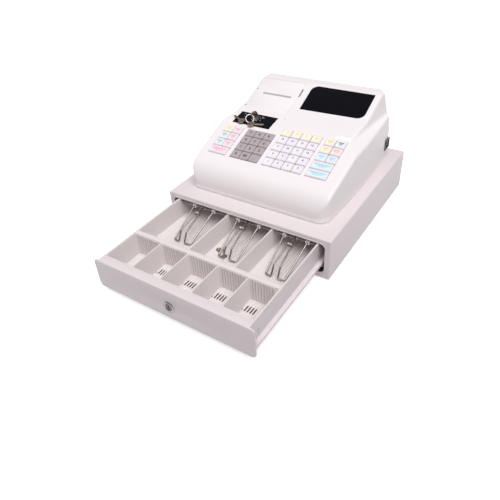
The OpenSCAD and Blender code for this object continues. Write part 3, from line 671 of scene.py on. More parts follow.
def makeCabinet(v):
    half, high, sheet = v["width"] / 2, v["height"], v["sheet"]
    shape = bmesh.new()
    # outline in X and Z, carried along Y with eased front and rear edges
    outline = roundedLoop(-half, 0, half, high, [0.05, v["topRadius"], v["topRadius"], 0.05], 6)
    loft(shape, [[(x * (half - inset) / half, y, z * (high - inset) / high) for x, z in outline]
                 for y, inset in easedLevels(0, v["depth"], v["edge"], 4)])
    body = carve(meshOf(shape), (
        boxInto, (-half + sheet, sheet, -5), (half - sheet, v["depth"] - sheet, high - sheet)))
    # the opening flares a little at the face, as a pressed edge does
    flare = [(-1.0, -1.0), (-0.01, -0.9), (0.25, -0.45), (0.8, 0.0), (6.0, 0.0)]
    body = carve(body, (loft, [[(x, y, z) for x, z in roundedLoop(
        *v["opening"], v["openingRadius"] - inset, 8, inset)] for y, inset in flare]))
    shape = bmesh.new()
    absorb(shape, body)
    # pin that carries the kick spring
    lathe(shape, [(6, 0), (6, 15), (5.4, 15.8), (4.6, 16)],
          turned((45, v["depth"] - sheet + 0.01, 34), 90), 28)
    # rolled rim round the opening
    rim = v["rim"]
    loop = roundedLoop(*v["opening"], v["openingRadius"] + rim, 8, -rim)
    sweep(shape, [(x, 0.15, z) for x, z in loop], rim, 10, True)
    addPiece("cabinetWrap", shape, cabinetFrame, "steelPaint", "cabinet", "cabinet_shell",
             30)


makeCabinet(cabinet)

foot = {"radius": 9.0, "height": 3.0, "places": [(-141, 24), (141, 24), (-141, 320), (141, 320)]}


def makeFeet(v):
    shape = bmesh.new()
    r, h = v["radius"], v["height"]
    profile = [(r - 0.6, 0), (r, -0.5), (r - 0.5, -h + 0.5), (r - 1.2, -h), (4.6, -h), (4.0, -h + 0.4),
               (4.0, -1.2), (2.4, -1.0)]
    lathe(shape, profile, still, 32)
    feet = repeatPart(meshOf(shape), [((x, y, 0), (0, 0, 0)) for x, y in v["places"]], paint["foot"])
    addPiece("rubberFeet", feet, cabinetFrame, "foot", "cabinet", "cabinet_feet")


makeFeet(foot)
print("cabinet ready")


# ---- housing: one smooth field, meshed and then cut ----

housing = {
    "front": 34.0,
    "rear": 338.0,
    "width": 286.0,
    "widestAt": 168.0,
    "sideRadius": 1900.0,
    "frontCorner": 20.0,
    "rearCorner": 26.0,
    "noseRadius": 42.0,
    "noseAt": (76.0, 91.0),
    "breakAt": (160.0, 165.3),
    "apronAt": (231.0, 177.0),
    "crestAt": (300.2, 174.97),
    "crestRadius": 30.0,
    "ridgeAt": (318.0, 196.97),
    "ridgeRadius": 8.0,
    "leanAt": 112.0,
    "bottom": 77.5,
    "parting": 86.5,
    "wall": 2.6,
    "edge": 5.0,
    "flankEdge": 5.0,
    "valley": 7.0,
    "ledgeAt": (122.0, 200.0, 165.5),
    "leftLedgeAt": (-134.0, 200.0, 165.5),
    "leftValley": 4.0,
    "leftEdge": 3.6,
    "grid": 2.25,
    "gridSpan": ((-146, 146), (31, 341), (80, 208)),
    "flankRun": (9.0, 112.0),
    "flankLean": 9.0,
    "ledgeSlope": 22.0,
    "leftFlankNormal": (-1.0, 0.02, 0.03),
    "steepTurn": 36.7,
    "steepLean": 12.7,
    "steepAt": (299.0, 0.0, 129.0),
    "inletHole": ((58.0, 300.0, 93.0), (82.0, 350.0, 109.0)),
    "postsX": (-30.0, 110.0),
    "postsY": (118.0, 222.0),
    "shelfSlope": 9.36,
}


def arc(centre, r, a0, a1, steps):
    angles = (math.radians(a0 + (a1 - a0) * i / steps) for i in range(steps + 1))
    return [(centre[0] + r * math.cos(a), centre[1] + r * math.sin(a)) for a in angles]


def bend(before, corner, after, reach, steps=10):
    # eases a corner of an outline
    a, c, b = Vector(before), Vector(corner), Vector(after)
    soft = softCorner(c + (a - c).normalized() * reach, c, c + (b - c).normalized() * reach, steps)
    return [tuple(p) for p in soft]


def sideOutline(v):
    lean = math.degrees(math.atan2(v["ridgeAt"][0] + v["ridgeRadius"] - v["rear"],
                                   v["ridgeAt"][1] - v["leanAt"]))
    nose = arc(v["noseAt"], v["noseRadius"], 180, 109.5, 40)
    crest = arc(v["crestAt"], v["crestRadius"], 114, 90, 12)
    deckBreak = bend(nose[-1], v["breakAt"], v["apronAt"], 12)
    apron = bend(v["breakAt"], v["apronAt"], crest[0], 7)
    ridge = arc(v["ridgeAt"], v["ridgeRadius"], 90, -lean, 20)
    return [(v["front"], 60.0)] + nose + deckBreak + apron + crest + ridge + [
        (v["rear"], v["leanAt"]), (v["rear"], 60.0)]


def halfWidth(v, y):
    return v["width"] / 2 - (y - v["widestAt"]) ** 2 / 2 / v["sideRadius"]


def planOutline(v, inset=0.0):
    steps = 14
    front, rear = v["frontCorner"], v["rearCorner"]
    yFront, yRear = v["front"] + front, v["rear"] - rear
    right = arc((halfWidth(v, yFront) - front, yFront), front - inset, -90, 0, steps)
    right += [(halfWidth(v, y) - inset, y) for y in np.linspace(yFront, yRear, 26)[1:-1]]
    right += arc((halfWidth(v, yRear) - rear, yRear), rear - inset, 0, 90, steps)
    return right + [(-x, y) for x, y in reversed(right)]


def outlineField(outline, points):
    # signed distance of many flat points from a closed outline, and its direction
    outline = np.array(outline)
    following = np.roll(outline, -1, 0)
    area = (outline[:, 0] * following[:, 1] - following[:, 0] * outline[:, 1]).sum()
    best = np.full(len(points), 1e9)
    nearest = np.zeros_like(points)
    normal = np.zeros_like(points)
    onEdge = np.zeros(len(points), bool)
    inside = np.zeros(len(points), bool)
    for a, b in zip(outline, following):
        edge = b - a
        length = np.hypot(*edge)
        if length < 1e-9:
            continue
        t = ((points - a) @ edge) / length ** 2
        clipped = np.clip(t, 0, 1)
        q = a + clipped[:, None] * edge
        d = np.hypot(*(points - q).T)
        closer = d < best
        best[closer] = d[closer]
        nearest[closer] = q[closer]
        out = np.array((edge[1], -edge[0])) / length * math.copysign(1, area)
        normal[closer] = out
        onEdge[closer] = ((t > 0) & (t < 1))[closer]
        crosses = (a[1] > points[:, 1]) != (b[1] > points[:, 1])
        at = a[0] + (points[:, 1] - a[1]) * edge[0] / (edge[1] if edge[1] else 1e-12)
        inside ^= crosses & (points[:, 0] < at)
    signed = np.where(inside, -best, best)
    free = (~onEdge) & (best > 1e-4)
    normal[free] = (points[free] - nearest[free]) / signed[free][:, None]
    return signed, normal


def meet(first, second, radius):
    # the room inside both, with a round edge where they meet
    a, na = first[0] + radius, first[1]
    b, nb = second[0] + radius, second[1]
    c = np.clip((na * nb).sum(-1), -0.98, 0.9998)
    s2 = 1 - c * c
    alpha = (a - b * c) / s2
    beta = (b - a * c) / s2
    across = alpha[..., None] * na + beta[..., None] * nb
    reach = np.sqrt((across ** 2).sum(-1))
    rounded = (alpha > 0) & (beta > 0) & (np.maximum(a, b) > 0) & (reach > 1e-6)
    value = np.where(rounded, reach, np.maximum(a, b)) - radius
    plain = np.where((a > b)[..., None], na, nb)
    normal = np.where(rounded[..., None], across / np.maximum(reach, 1e-6)[..., None], plain)
    return value, normal


def join(first, second, radius):
    value, normal = meet((-first[0], -first[1]), (-second[0], -second[1]), radius)
    return -value, -normal


def halfSpace(points, at, normal):
    normal = np.array(normal) / np.linalg.norm(normal)
    return (points - np.array(at)) @ normal, np.broadcast_to(normal, points.shape).copy()


side = sideOutline(housing)
plan = planOutline(housing)


def spin(degrees, axis):
    return Matrix.Rotation(math.radians(degrees), 3, axis)


# the flat faces that shape the sides of the hump
flankTurn = spin(-math.degrees(math.atan2(*housing["flankRun"])), "Z")
flankNormal = flankTurn @ spin(-housing["flankLean"], "Y") @ Vector((1, 0, 0))
ledgeNormal = flankTurn @ spin(housing["ledgeSlope"], "Y") @ Vector((0, 0, 1))
leftFlankNormal = Vector(housing["leftFlankNormal"])
leftLedgeNormal = spin(-housing["ledgeSlope"], "Y") @ Vector((0, 0, 1))
steepTurn = spin(housing["steepTurn"], "Z")
steepNormal = steepTurn @ spin(-housing["steepLean"], "Y") @ Vector((1, 0, 0))
steepAt = steepTurn @ Vector(housing["steepAt"])


def combineField(flat, profile, around, v):
    # profile is the field of the side outline, and around that of the plan
    zero = np.zeros((len(flat), 1))
    profile = profile[0], np.hstack((zero, profile[1]))
    around = around[0], np.hstack((around[1], zero))
    body = meet(profile, around, v["edge"])
    for at, flank, ledge, valley, edge in (
            (v["ledgeAt"], flankNormal, ledgeNormal, v["valley"], v["flankEdge"]),
            (v["leftLedgeAt"], leftFlankNormal, leftLedgeNormal, v["leftValley"], v["leftEdge"])):
        body = meet(body, join(halfSpace(flat, at, flank), halfSpace(flat, at, ledge), valley), edge)
    return meet(body, halfSpace(flat, steepAt, steepNormal), v["edge"])


def housingField(points, v):
    return combineField(points, outlineField(side, points[:, 1:3]), outlineField(plan, points[:, 0:2]), v)


def gridPoints(*axes):
    return np.stack(np.meshgrid(*axes, indexing="ij"), -1).reshape(-1, len(axes))


def gridField(axes, v):
    # each flat field is worked out once and repeated along the third axis
    xs, ys, zs = axes
    profile, profileSide = outlineField(side, gridPoints(ys, zs))
    around, aroundSide = outlineField(plan, gridPoints(xs, ys))
    value, _ = combineField(
        gridPoints(*axes), (np.tile(profile, len(xs)), np.tile(profileSide, (len(xs), 1))),
        (np.repeat(around, len(zs)), np.repeat(aroundSide, len(zs), 0)), v)
    return value.reshape([len(axis) for axis in axes])


def netSurface(axes, value):
    # one vertex in each cell that the surface crosses, one quad over each crossed grid edge
    size = np.array(value.shape)
    cells = size - 1
    total = np.zeros((*cells, 3))
    count = np.zeros(cells)
    base = np.stack(np.meshgrid(*axes, indexing="ij"), -1)
    step = axes[0][1] - axes[0][0]
    crossings = []
    for axis in range(3):
        low = np.take(value, range(size[axis] - 1), axis)
        high = np.take(value, range(1, size[axis]), axis)
        crossed = (low < 0) != (high < 0)
        t = np.where(crossed, low / np.where(crossed, low - high, 1), 0)
        spot = np.take(base, range(size[axis] - 1), axis).copy()
        spot[..., axis] += t * step
        spot *= crossed[..., None]
        crossings.append((crossed, low < 0))
        others = [k for k in range(3) if k != axis]
        for du in (0, 1):
            for dv in (0, 1):
                window = [slice(None)] * 3
                window[others[0]] = slice(du, cells[others[0]] + du)
                window[others[1]] = slice(dv, cells[others[1]] + dv)
                total += spot[tuple(window)]
                count += crossed[tuple(window)]
    used = count > 0
    index = np.full(cells, -1)
    index[used] = np.arange(used.sum())
    verts = total[used] / count[used][:, None]
    quads = []
    for axis, (crossed, inside) in enumerate(crossings):
        others = [k for k in range(3) if k != axis]
        inner = [slice(None)] * 3
        inner[others[0]] = slice(1, cells[others[0]])
        inner[others[1]] = slice(1, cells[others[1]])
        where = np.argwhere(crossed[tuple(inner)])
        where[:, others[0]] += 1
        where[:, others[1]] += 1
        turnIn = inside[tuple(where.T)]
        corners = []
        for du, dv in ((-1, -1), (0, -1), (0, 0), (-1, 0)):
            cell = where.copy()
            cell[:, others[0]] += du
            cell[:, others[1]] += dv
            corners.append(index[tuple(cell.T)])
        quad = np.stack(corners, 1)
        flip = turnIn if axis != 1 else ~turnIn
        quad[~flip] = quad[~flip][:, ::-1]
        quads.append(quad)
    return verts, np.concatenate(quads)


def offsetLine(outline, y0, y1, depth):
    # the part of the side outline between two Y, moved inwards
    line = [Vector(p) for p in outline if y0 < p[0] < y1 and p[1] > 140]
    full = [Vector(p) for p in outline if p[1] > 140]

    def at(y):
        for a, b in zip(full, full[1:]):
            if a.x <= y <= b.x and b.x > a.x:
                return a.lerp(b, (y - a.x) / (b.x - a.x))
        return full[-1]

    line = [at(y0)] + line + [at(y1)]
    moved = []
    for i, point in enumerate(line):
        along = (line[min(i + 1, len(line) - 1)] - line[max(i - 1, 0)]).normalized()
        moved.append(point + Vector((along.y, -along.x)) * depth)
    return moved


keyBlocks = {"a": (-103.5, 2, 4), "b": (-45.5, 3, 4), "c": (31.6, 4, 5), "d": (97.2, 2, 5)}
keySizes = {"pitchX": 19.5, "pitchS": 18.5, "gap": 1.0, "low": -32.0, "deep": 4.5, "proud": 2.5,
            "corner": 1.7, "dish": 0.4, "margin": 0.6}
windowSizes = {"left": -14.0, "width": 126.0, "low": 0.6, "length": 64.4, "radius": 14.0,
               "smallRadius": 1.2, "rim": 1.5, "rise": 3.2}
coverSizes = {"left": -131.0, "right": -32.0, "front": 204.6, "rear": 292.0, "thick": 2.4,
              "hinge": (207.70, 170.73), "seatBeyond": 12.0, "slotAt": -76.6, "slotUp": 25.8,
              "slotWide": 63.9, "slotLong": 4.2,
              "notch": (-31.6, -28.3, 30.0, 51.0)}
modeSizes = {"left": -118.0, "right": -37.0, "length": 37.0, "thick": 1.6, "lock": (-78.6, 19.9),
             "lockHole": 6.2, "marksAt": 11.2, "rules": [(-69, 30.6), (-68, 28.2), (-109, 30)]}
labelPlate = ((89.2, 5.4, -0.5), (117.2, 16.0, 0.6))
switchSizes = {"y": 306.0, "z": 105.0, "w": 21.0, "h": 20.0, "x": 137.44, "tilt": 7.0}


def windowLoop(v, grow=0.0):
    # a little shorter at its right end
    x0, x1 = v["left"] - grow, v["left"] + v["width"] + grow
    r, small = v["radius"], v["smallRadius"]
    s0, s1 = v["low"] - grow, v["low"] + v["length"] + grow
    loop = roundedLoop(x0, s0, x1, s1, [r, small, r, small], 10)
    return [(x, s + v["rise"] * (x - x0) / (x1 - x0) * (s1 - s) / (s1 - s0)) for x, s in loop]


def extrudeX(shape, outline, x0, x1):
    # outline is in Y and Z, counter-clockwise seen from +X
    loft(shape, [[(x, y, z) for y, z in outline] for x in (x0, x1)])


def fingerNotch(tool):
    # room for a fingertip beside the printer cover
    x0, x1, s0, s1 = coverSizes["notch"]
    prism(tool, roundedLoop(x0, s0, x1, s1, 1.0), -14, 8, slopeTilt)


def makeUpperCase(v):
    step = v["grid"]
    axes = [np.arange(low, high + step, step) for low, high in v["gridSpan"]]
    verts, quads = netSurface(axes, gridField(axes, v))
    for _ in range(5):
        distance, normal = housingField(verts, v)
        verts = verts - normal * distance[:, None]
    mesh = bpy.data.meshes.new("shellOutside")
    mesh.from_pydata(verts.tolist(), [], quads.tolist())
    shape = bmesh.new()
    absorb(shape, mesh)
    everything = list(shape.verts) + list(shape.edges) + list(shape.faces)
    bmesh.ops.bisect_plane(shape, geom=everything, plane_co=(0, 0, v["parting"] + 0.15), plane_no=(0, 0, 1),
                           clear_inner=True, dist=0.01)
    bmesh.ops.recalc_face_normals(shape, faces=shape.faces)
    mesh = bpy.data.meshes.new("shellOpen")
    shape.to_mesh(mesh)
    shape.free()
    print("housing surface:", len(mesh.polygons), "faces")
    body = modified(mesh, "SOLIDIFY", thickness=v["wall"], offset=-1.0, use_even_offset=False)
    strokes = []
    room = keySizes["margin"] - keySizes["gap"] / 2
    for middle, columns, rows in keyBlocks.values():
        half = columns * keySizes["pitchX"] / 2 + room
        s0, s1 = keySizes["low"] - room, keySizes["low"] + rows * keySizes["pitchS"] + room
        strokes.append((prism, roundedLoop(middle - half, s0, middle + half, s1, 1.2, 3), -12, 12, deckTilt))
    m, c, w = modeSizes, coverSizes, switchSizes
    lower = offsetLine(side, c["front"], c["rear"] + 0.3, c["thick"] + 0.3)
    seat = [(p.x, p.y) for p in lower] + [(c["rear"] + 0.3, 230), (c["front"], 230)]
    wide, tall = w["w"] / 2 - 1, w["h"] / 2 - 1
    body = carve(
        body, *strokes,
        (boxInto, (m["left"] - 0.1, -0.1, -m["thick"]), (m["right"] + 0.1, m["length"] + 0.1, 10), panelTilt),
        (prism, windowLoop(windowSizes, 0.15), -1.6, 20, slopeTilt),
        (extrudeX, seat, c["left"] - c["seatBeyond"], c["right"] + 0.3),
        (boxInto, (123, w["y"] - wide, w["z"] - tall), (150, w["y"] + wide, w["z"] + tall)),
        (boxInto, *v["inletHole"]))
    lockTurn = panelTilt @ Matrix.Translation((*m["lock"], 0))
    body = carve(body, (lathe, [(m["lockHole"], -20), (m["lockHole"], 10)], lockTurn, 40), (fingerNotch,))
    shape = bmesh.new()
    absorb(shape, body)
    # the rim that the printer cover closes on
    upper, under = (offsetLine(side, c["front"] - 3.2, c["rear"] + 3.2, c["thick"] + deep)
                    for deep in (0.3, 2.6))
    band = bmesh.new()
    extrudeX(band, [(p.x, p.y) for p in under + upper[::-1]], c["left"] + 0.4, c["right"] + 7)
    band = meshOf(band)
    barrel = turned((c["left"] - 0.3, *c["hinge"]), 90, "Y")
    for stroke in (
            (boxInto, (c["left"] + 6, c["hinge"][0] + 6.4, 140), (c["right"] - 6, c["rear"] - 6, 230)),
            (fingerNotch,),
            (lathe, [(2.7, 0), (2.7, c["right"] - c["left"] + 0.6)], barrel, 32)):
        band = carve(band, stroke)
    absorb(shape, band)
    # bare label plate above the right key block
    softBox(shape, *labelPlate, 0.5, turned((0, *v["breakAt"]), v["shelfSlope"]), 1)
    addPiece("upperCase", shape, cabinetFrame, "housing label", "cabinet", "upper_case", 32)


makeUpperCase(housing)
print("upper case ready")


def makeLowerCase(v):
    shape = bmesh.new()
    low, top, wall = v["bottom"], v["parting"], v["wall"]
    levels = [(low, 1.4), (low + 0.35, 0.75), (low + 1.2, 0.1), (low + 1.9, 0.0), (top - 1.1, 0.0),
              (top - 0.5, 0.35), (top - 0.1, 0.95), (top, 1.5), (top, wall), (low + wall, wall)]
    stack(shape, levels, lambda inset: planOutline(v, inset))
    for x in v["postsX"]:
        for y in v["postsY"]:
            lathe(shape, [(4.4, 0), (3.6, 1.5), (3.5, 9)], Matrix.Translation((x, y, low + wall - 0.1)), 20)
    addPiece("lowerCase", shape, cabinetFrame, "housing", "cabinet", "lower_case", 40)


makeLowerCase(housing)

plugs = {"radius": 1.7, "proud": 0.3, "lid": [(-125.4, 214.2, 174.25, 9.36), (-125.9, 262.6, 191.1, 24.0)],
         "shelf": (-24.0, 193.0, 171.0, 9.36)}


def plugInto(shape, at, radius, proud):
    lathe(shape, [(radius, -1.0), (radius, proud * 0.3), (radius * 0.8, proud * 0.8), (radius * 0.3, proud)],
          turned(at[:3], at[3]), 24)


def makePlugs(v):
    # blind plugs of the cover, and the small one in front of the display
    shape = bmesh.new()
    for at in v["lid"]:
        plugInto(shape, at, v["radius"], v["proud"])
    addPiece("lidPlugs", shape, cabinetFrame, "plug", "printer_cover")
    shape = bmesh.new()
    plugInto(shape, v["shelf"], v["radius"] * 0.6, v["proud"])
    addPiece("casePlug", shape, cabinetFrame, "plug", "cabinet")


makePlugs(plugs)


def makeDisplay(v):
    shape = bmesh.new()
    softSlab(shape, windowLoop(v), -1.6, 0.3, 0.35)
    addPiece("displayGlass", shape, cabinetFrame @ slopeTilt, "window", "cabinet", "display_window",
             50)
    shape = bmesh.new()
    loop = windowLoop(v, v["rim"] * 0.55)
    sweep(shape, [(x, s, 0.05) for x, s in loop], v["rim"] / 2, 12, True, flat=0.75)
    addPiece("displayRim", shape, cabinetFrame @ slopeTilt, "housing", "cabinet")


makeDisplay(windowSizes)


def makeCover(v):
    shape = bmesh.new()
    y0, y1 = v["hinge"][0], v["rear"]
    outer = offsetLine(side, y0, y1, 0.0)
    inner = offsetLine(side, y0, y1, v["thick"])
    extrudeX(shape, [(p.x, p.y) for p in inner + outer[::-1]], v["left"], v["right"])
    mesh = modified(meshOf(shape), "BEVEL", width=0.45, segments=2, limit_method="ANGLE",
                    angle_limit=math.radians(50), harden_normals=False)
    x0 = v["slotAt"] - v["slotWide"] / 2
    s0 = v["slotUp"] - v["slotLong"] / 2
    loop = roundedLoop(x0, s0, x0 + v["slotWide"], s0 + v["slotLong"], 0.8, 3)
    mesh = carve(mesh, (prism, loop, -8, 8, slopeTilt))
    shape = bmesh.new()
    absorb(shape, mesh)
    # guide bar just under the slot
    beyond = 1.5
    softBox(shape, (x0 - beyond, s0 + 0.8, -2.0),
            (x0 + v["slotWide"] + beyond, s0 + v["slotLong"] + beyond, -0.4), 0.3, slopeTilt, 1)
    long = v["right"] - v["left"]
    lathe(shape, [(1.3, -1.4), (1.3, 0), (2.1, 0), (2.4, 0.3), (2.4, long - 0.3), (2.1, long), (1.3, long),
                  (1.3, long + 2.6)], turned((v["left"], *v["hinge"]), 90, "Y"), 28)
    addPiece("printerLid", shape, cabinetFrame, "housing guide", "printer_cover", "printer_cover",
             38)


makeCover(coverSizes)


def makeModePanel(v):
    outline = roundedLoop(v["left"], 0, v["right"], v["length"], 1.0)
    mesh = plate([outline, circle(*v["lock"], v["lockHole"], 40)], v["thick"], 0.25)
    addPiece("modePlate", mesh, cabinetFrame @ panelTilt @ Matrix.Translation((0, 0, -v["thick"] / 2)),
             "window", "cabinet", "mode_panel", 50)
    # index marks round the lock, and short rules beside it
    shape = bmesh.new()
    softBox(shape, (-0.35, -1.2, -0.1), (0.35, 1.2, 0.12), 0.08)
    places = []
    for a in (math.radians(angle) for angle in range(-60, 91, 30)):
        at = (v["lock"][0] + v["marksAt"] * math.sin(a), v["lock"][1] + v["marksAt"] * math.cos(a), 0)
        places.append((at, (0, 0, -a)))
    whole = repeatPart(meshOf(shape), places, paint["whiteInk"])
    for x, s in v["rules"]:
        softBox(whole, (x, s, -0.1), (x + 5, s + 0.6, 0.12), 0.08)
    addPiece("modeMarks", whole, cabinetFrame @ panelTilt, "whiteInk", "cabinet")
    shape = bmesh.new()
    ring = [(4.05, -16), (6.0, -16), (6.0, 0.02), (7.3, 0.02), (7.6, 0.3), (7.5, 0.9), (6.9, 1.2),
            (5.4, 1.15), (4.9, 0.75), (4.05, 0.7)]
    lathe(shape, ring, Matrix.Translation((*v["lock"], 0)), 48, ring=True)
    addPiece("modeBarrel", shape, cabinetFrame @ panelTilt, "nickel", "cabinet", "mode_lock")


makeModePanel(modeSizes)

looseKey = {"bow": 7.0, "reach": 21.0, "blade": 4.4, "thick": 1.8, "hole": 2.0,
            "stemBow": (0.0, 11.0, 6.9), "stemTop": 5.4, "ringAt": (-83.2, 10.1, 6.8), "ringTurn": -47,
            "ringTilt": 45, "ringRadius": 7.7, "ringWire": 1.15,
            "spares": [((-99, 4, 2.3), 156), ((-75, 0.5, 2.3), 12)]}


def keyOutline(v):
    # bow and cut blade along X, counter-clockwise
    r, half = v["bow"], v["blade"] / 2
    start = math.degrees(math.asin(half / r))
    loop = arc((0, 0), r, start, 360 - start, 30)
    end = 5 + v["reach"]
    loop += [(end - 1.6, -half), (end, -half * 0.2), (end - 1.2, half * 0.6)]
    teeth = [(0.86, 0.75), (0.8, 0.2), (0.74, 0.9), (0.66, 0.9), (0.6, 0.3), (0.54, 1.0), (0.46, 1.0),
             (0.4, 0.45), (0.34, 1.0)]
    loop += [(5 + v["reach"] * t, half * h) for t, h in teeth]
    return loop


def makeModeKeys(v):
    # the key in the lock, its bow cut off above the stem
    shape = bmesh.new()
    lathe(shape, [(4, -15), (4, 1.3), (3.7, 1.6)], still, 32)
    steps, low = 44, v["stemTop"]
    bow = circle(*v["stemBow"], steps)
    first = min(range(steps), key=lambda i: abs(bow[i][1] - low) + (bow[i][0] < 0) * 99)
    outline = [p for p in bow[first:] + bow[:first] if p[1] > low - 0.1]
    outline += [(-3.2, 4.6), (-3.2, 1.6), (3.2, 1.6), (3.2, 4.6)]
    mesh = plate([outline, circle(-3.1, 9.2, 1.9, 20)], 1.6, 0.3)
    absorb(shape, mesh, turned((0, 0, 0), 55, "Z") @ turned((0, 0, 0), 90))
    addPiece("modeKeyInLock", shape, cabinetFrame @ panelTilt @ Matrix.Translation((*modeSizes["lock"], 0)),
             "brass", "mode_key", "mode_key")
    shape = bmesh.new()
    turn = turned(v["ringAt"], v["ringTurn"], "Z") @ turned((0, 0, 0), v["ringTilt"], "Y")
    ring = circle(0, 0, v["ringRadius"], 64)
    sweep(shape, [turn @ Vector((x, y, 0)) for x, y in ring], v["ringWire"], 12, True)
    for at, angle in v["spares"]:
        mesh = plate([keyOutline(v), circle(-3.4, 0, v["hole"], 18)], v["thick"], 0.3)
        absorb(shape, mesh, turned(at, angle, "Z") @ Matrix.Translation((0, 0, v["thick"] / 2)), 1)
    addPiece("keyRing", shape, cabinetFrame @ panelTilt, "satinSteel brass", "mode_key", "spare_keys")


makeModeKeys(looseKey)


def makeSwitch(v):
    # frame and rocker of the power switch on the right side
    shape = bmesh.new()
    half, high = v["w"] / 2, v["h"] / 2
    outer = roundedLoop(-half, -high, half, high, 1.2, 4, -0.6)
    inner = roundedLoop(-half, -high, half, high, 0.8, 3, 3)
    sleeve = roundedLoop(-half, -high, half, high, 0.6, 3, 1.1)
    # local X runs along Y and local Y along Z
    turn = Matrix(((0, 0, 1, 0), (1, 0, 0, 0), (0, 1, 0, 0), (0, 0, 0, 1)))
    for edge, x, thick, soft in ((outer, 2.2, 1.6, 0.35), (sleeve, -6.2, 15.2, 0.1)):
        absorb(shape, plate([edge, inner], thick, soft),
               Matrix.Translation((v["x"] + x, v["y"], v["z"])) @ turn)
    addPiece("switchFrame", shape, cabinetFrame, "black", "cabinet", "switch_bezel")
    shape = bmesh.new()
    reach, tall = half - 4.2, high - 3.4
    # the rocker's face is hollow, as part of a large circle
    bowl, deepest = 20, 5.6
    dish = [(bowl + deepest - bowl * math.cos(a), bowl * math.sin(a))
            for a in (math.asin(reach / bowl) * (1 - i / 6) for i in range(13))]
    softSlab(shape, [(-3, reach), (-3, -reach)] + dish[::-1], -tall, tall, 0.4)
    lathe(shape, [(1.2, -tall - 2), (1.2, tall + 2)], still, 16)
    for y in (4.2, -4.2):
        x = bowl + deepest - math.sqrt(bowl ** 2 - y * y)
        face = turned((x, y, 0), math.degrees(math.asin(y / bowl)), "Z") @ turn
        if y > 0:
            softBox(shape, (-0.25, -1.7, -0.1), (0.25, 1.7, 0.12), 0.08, face, 1)
        else:
            sweep(shape, [face @ Vector((p, q, 0)) for p, q in circle(0, 0, 1.4, 24)], 0.22, 6, True, 1)
    place = turned((v["x"] - 4, v["y"], v["z"]), v["tilt"], "Z")
    addPiece("switchRocker", shape, cabinetFrame @ place, "black whiteInk", "power_rocker", "power_rocker")


makeSwitch(switchSizes)
print("housing fittings ready")


# ---- keys ----

def capInto(shape, block, column, row, columns=1, topPaint=1):
    v = keySizes
    middle, across, _ = keyBlocks[block]
    x0 = middle - across * v["pitchX"] / 2 + column * v["pitchX"] + v["gap"] / 2
    s0 = v["low"] + row * v["pitchS"] + v["gap"] / 2
    x1 = x0 + columns * v["pitchX"] - v["gap"]
    s1 = s0 + v["pitchS"] - v["gap"]
    top = v["proud"]
    levels = [(-v["deep"], 0.0), (top - 1.7, 0.0), (top - 0.9, 0.25), (top - 0.35, 0.75), (top - 0.06, 1.35),
              (top, 2.0)]
    stack(shape, levels, lambda inset: roundedLoop(x0, s0, x1, s1, v["corner"] - inset * 0.2, 4, inset),
          closeEnd=False)
    dish = [(top, 2.0), (top - v["dish"] * 0.45, 3.2), (top - v["dish"] * 0.9, 5.2), (top - v["dish"], 7.4)]
    stack(shape, dish, lambda inset: roundedLoop(x0, s0, x1, s1, max(1.3 - inset * 0.1, 0.3), 4, inset),
          material=topPaint, closeStart=False)
    return (x0 + x1) / 2, (s0 + s1) / 2, top - v["dish"]


def legendInto(shape, text, x, s, n, size, material):
    curve = bpy.data.curves.new("legend", "FONT")
    curve.body = text
    curve.size = size
    curve.align_x = curve.align_y = "CENTER"
    curve.extrude = 0.16
    curve.offset = 0.22
    curve.resolution_u = 3
    absorb(shape, curveMesh(curve), Matrix.Translation((x, s, n + 0.05)), material)


def strokesInto(shape, x, s, n, wide, material):
    # printed rules in place of a legend: a broad one over two narrow ones
    for ds, share, half in ((2.6, 1.0, 1.15), (-0.6, 0.7, 0.75), (-3.2, 0.4, 0.4)):
        softBox(shape, (x - wide * share / 2, s + ds - half, n - 0.1),
                (x + wide * share / 2, s + ds + half, n + 0.2), 0.08, material=material, steps=2)


def addKeys(name, node, caps, tops, inks=("ink",), edgeName="clearCap"):
    shape = bmesh.new()
    for cap in caps:
        x, s, n = capInto(shape, *cap["cell"], topPaint=1 + len(inks) + cap.get("top", 0))
        ink = 1 + cap.get("ink", 0)
        if cap.get("text"):
            legendInto(shape, cap["text"], x, s + cap.get("up", 0), n, cap["size"], ink)
        else:
            strokesInto(shape, x, s, n, cap.get("wide", 11.0), ink)
    addPiece(name, shape, cabinetFrame @ deckTilt, " ".join((edgeName, *inks, *tops)), node, node, 40)


keyInk = {
    "tealInk": (rgb(0.3, 0.55, 0.56), rgb(0.36, 0.6, 0.6)),
    "pinkInk": (rgb(0.84, 0.38, 0.56), rgb(0.87, 0.46, 0.62)),
    "blueInk": (rgb(0.36, 0.62, 0.74), rgb(0.42, 0.67, 0.78)),
    "yellowInk": (rgb(0.74, 0.66, 0.36), rgb(0.79, 0.72, 0.44)),
    "roseInk": (rgb(0.8, 0.45, 0.42), rgb(0.84, 0.52, 0.48)),
    "greyInk": (rgb(0.2, 0.19, 0.27), rgb(0.26, 0.25, 0.33)),
}
for shade, (first, second) in keyInk.items():
    paint[shade] = coatFinish(shade, first, second, 0.6, strength=0.1)

numericKeys = {
    "7": (0, 3), "8": (1, 3), "9": (2, 3), "4": (0, 2), "5": (1, 2), "6": (2, 2),
    "1": (0, 1), "2": (1, 1), "3": (2, 1), "0": (0, 0), "00": (1, 0),
}
for digit, (column, row) in numericKeys.items():
    addKeys("digitKey" + digit, "key_" + digit,
            [{"cell": ("b", column, row), "text": digit, "size": 7.4}], ["grey"], edgeName="grey")
addKeys("digitKeyPoint", "key_point", [{"cell": ("b", 2, 0), "text": ".", "size": 9.0}],
        ["grey"], edgeName="grey")

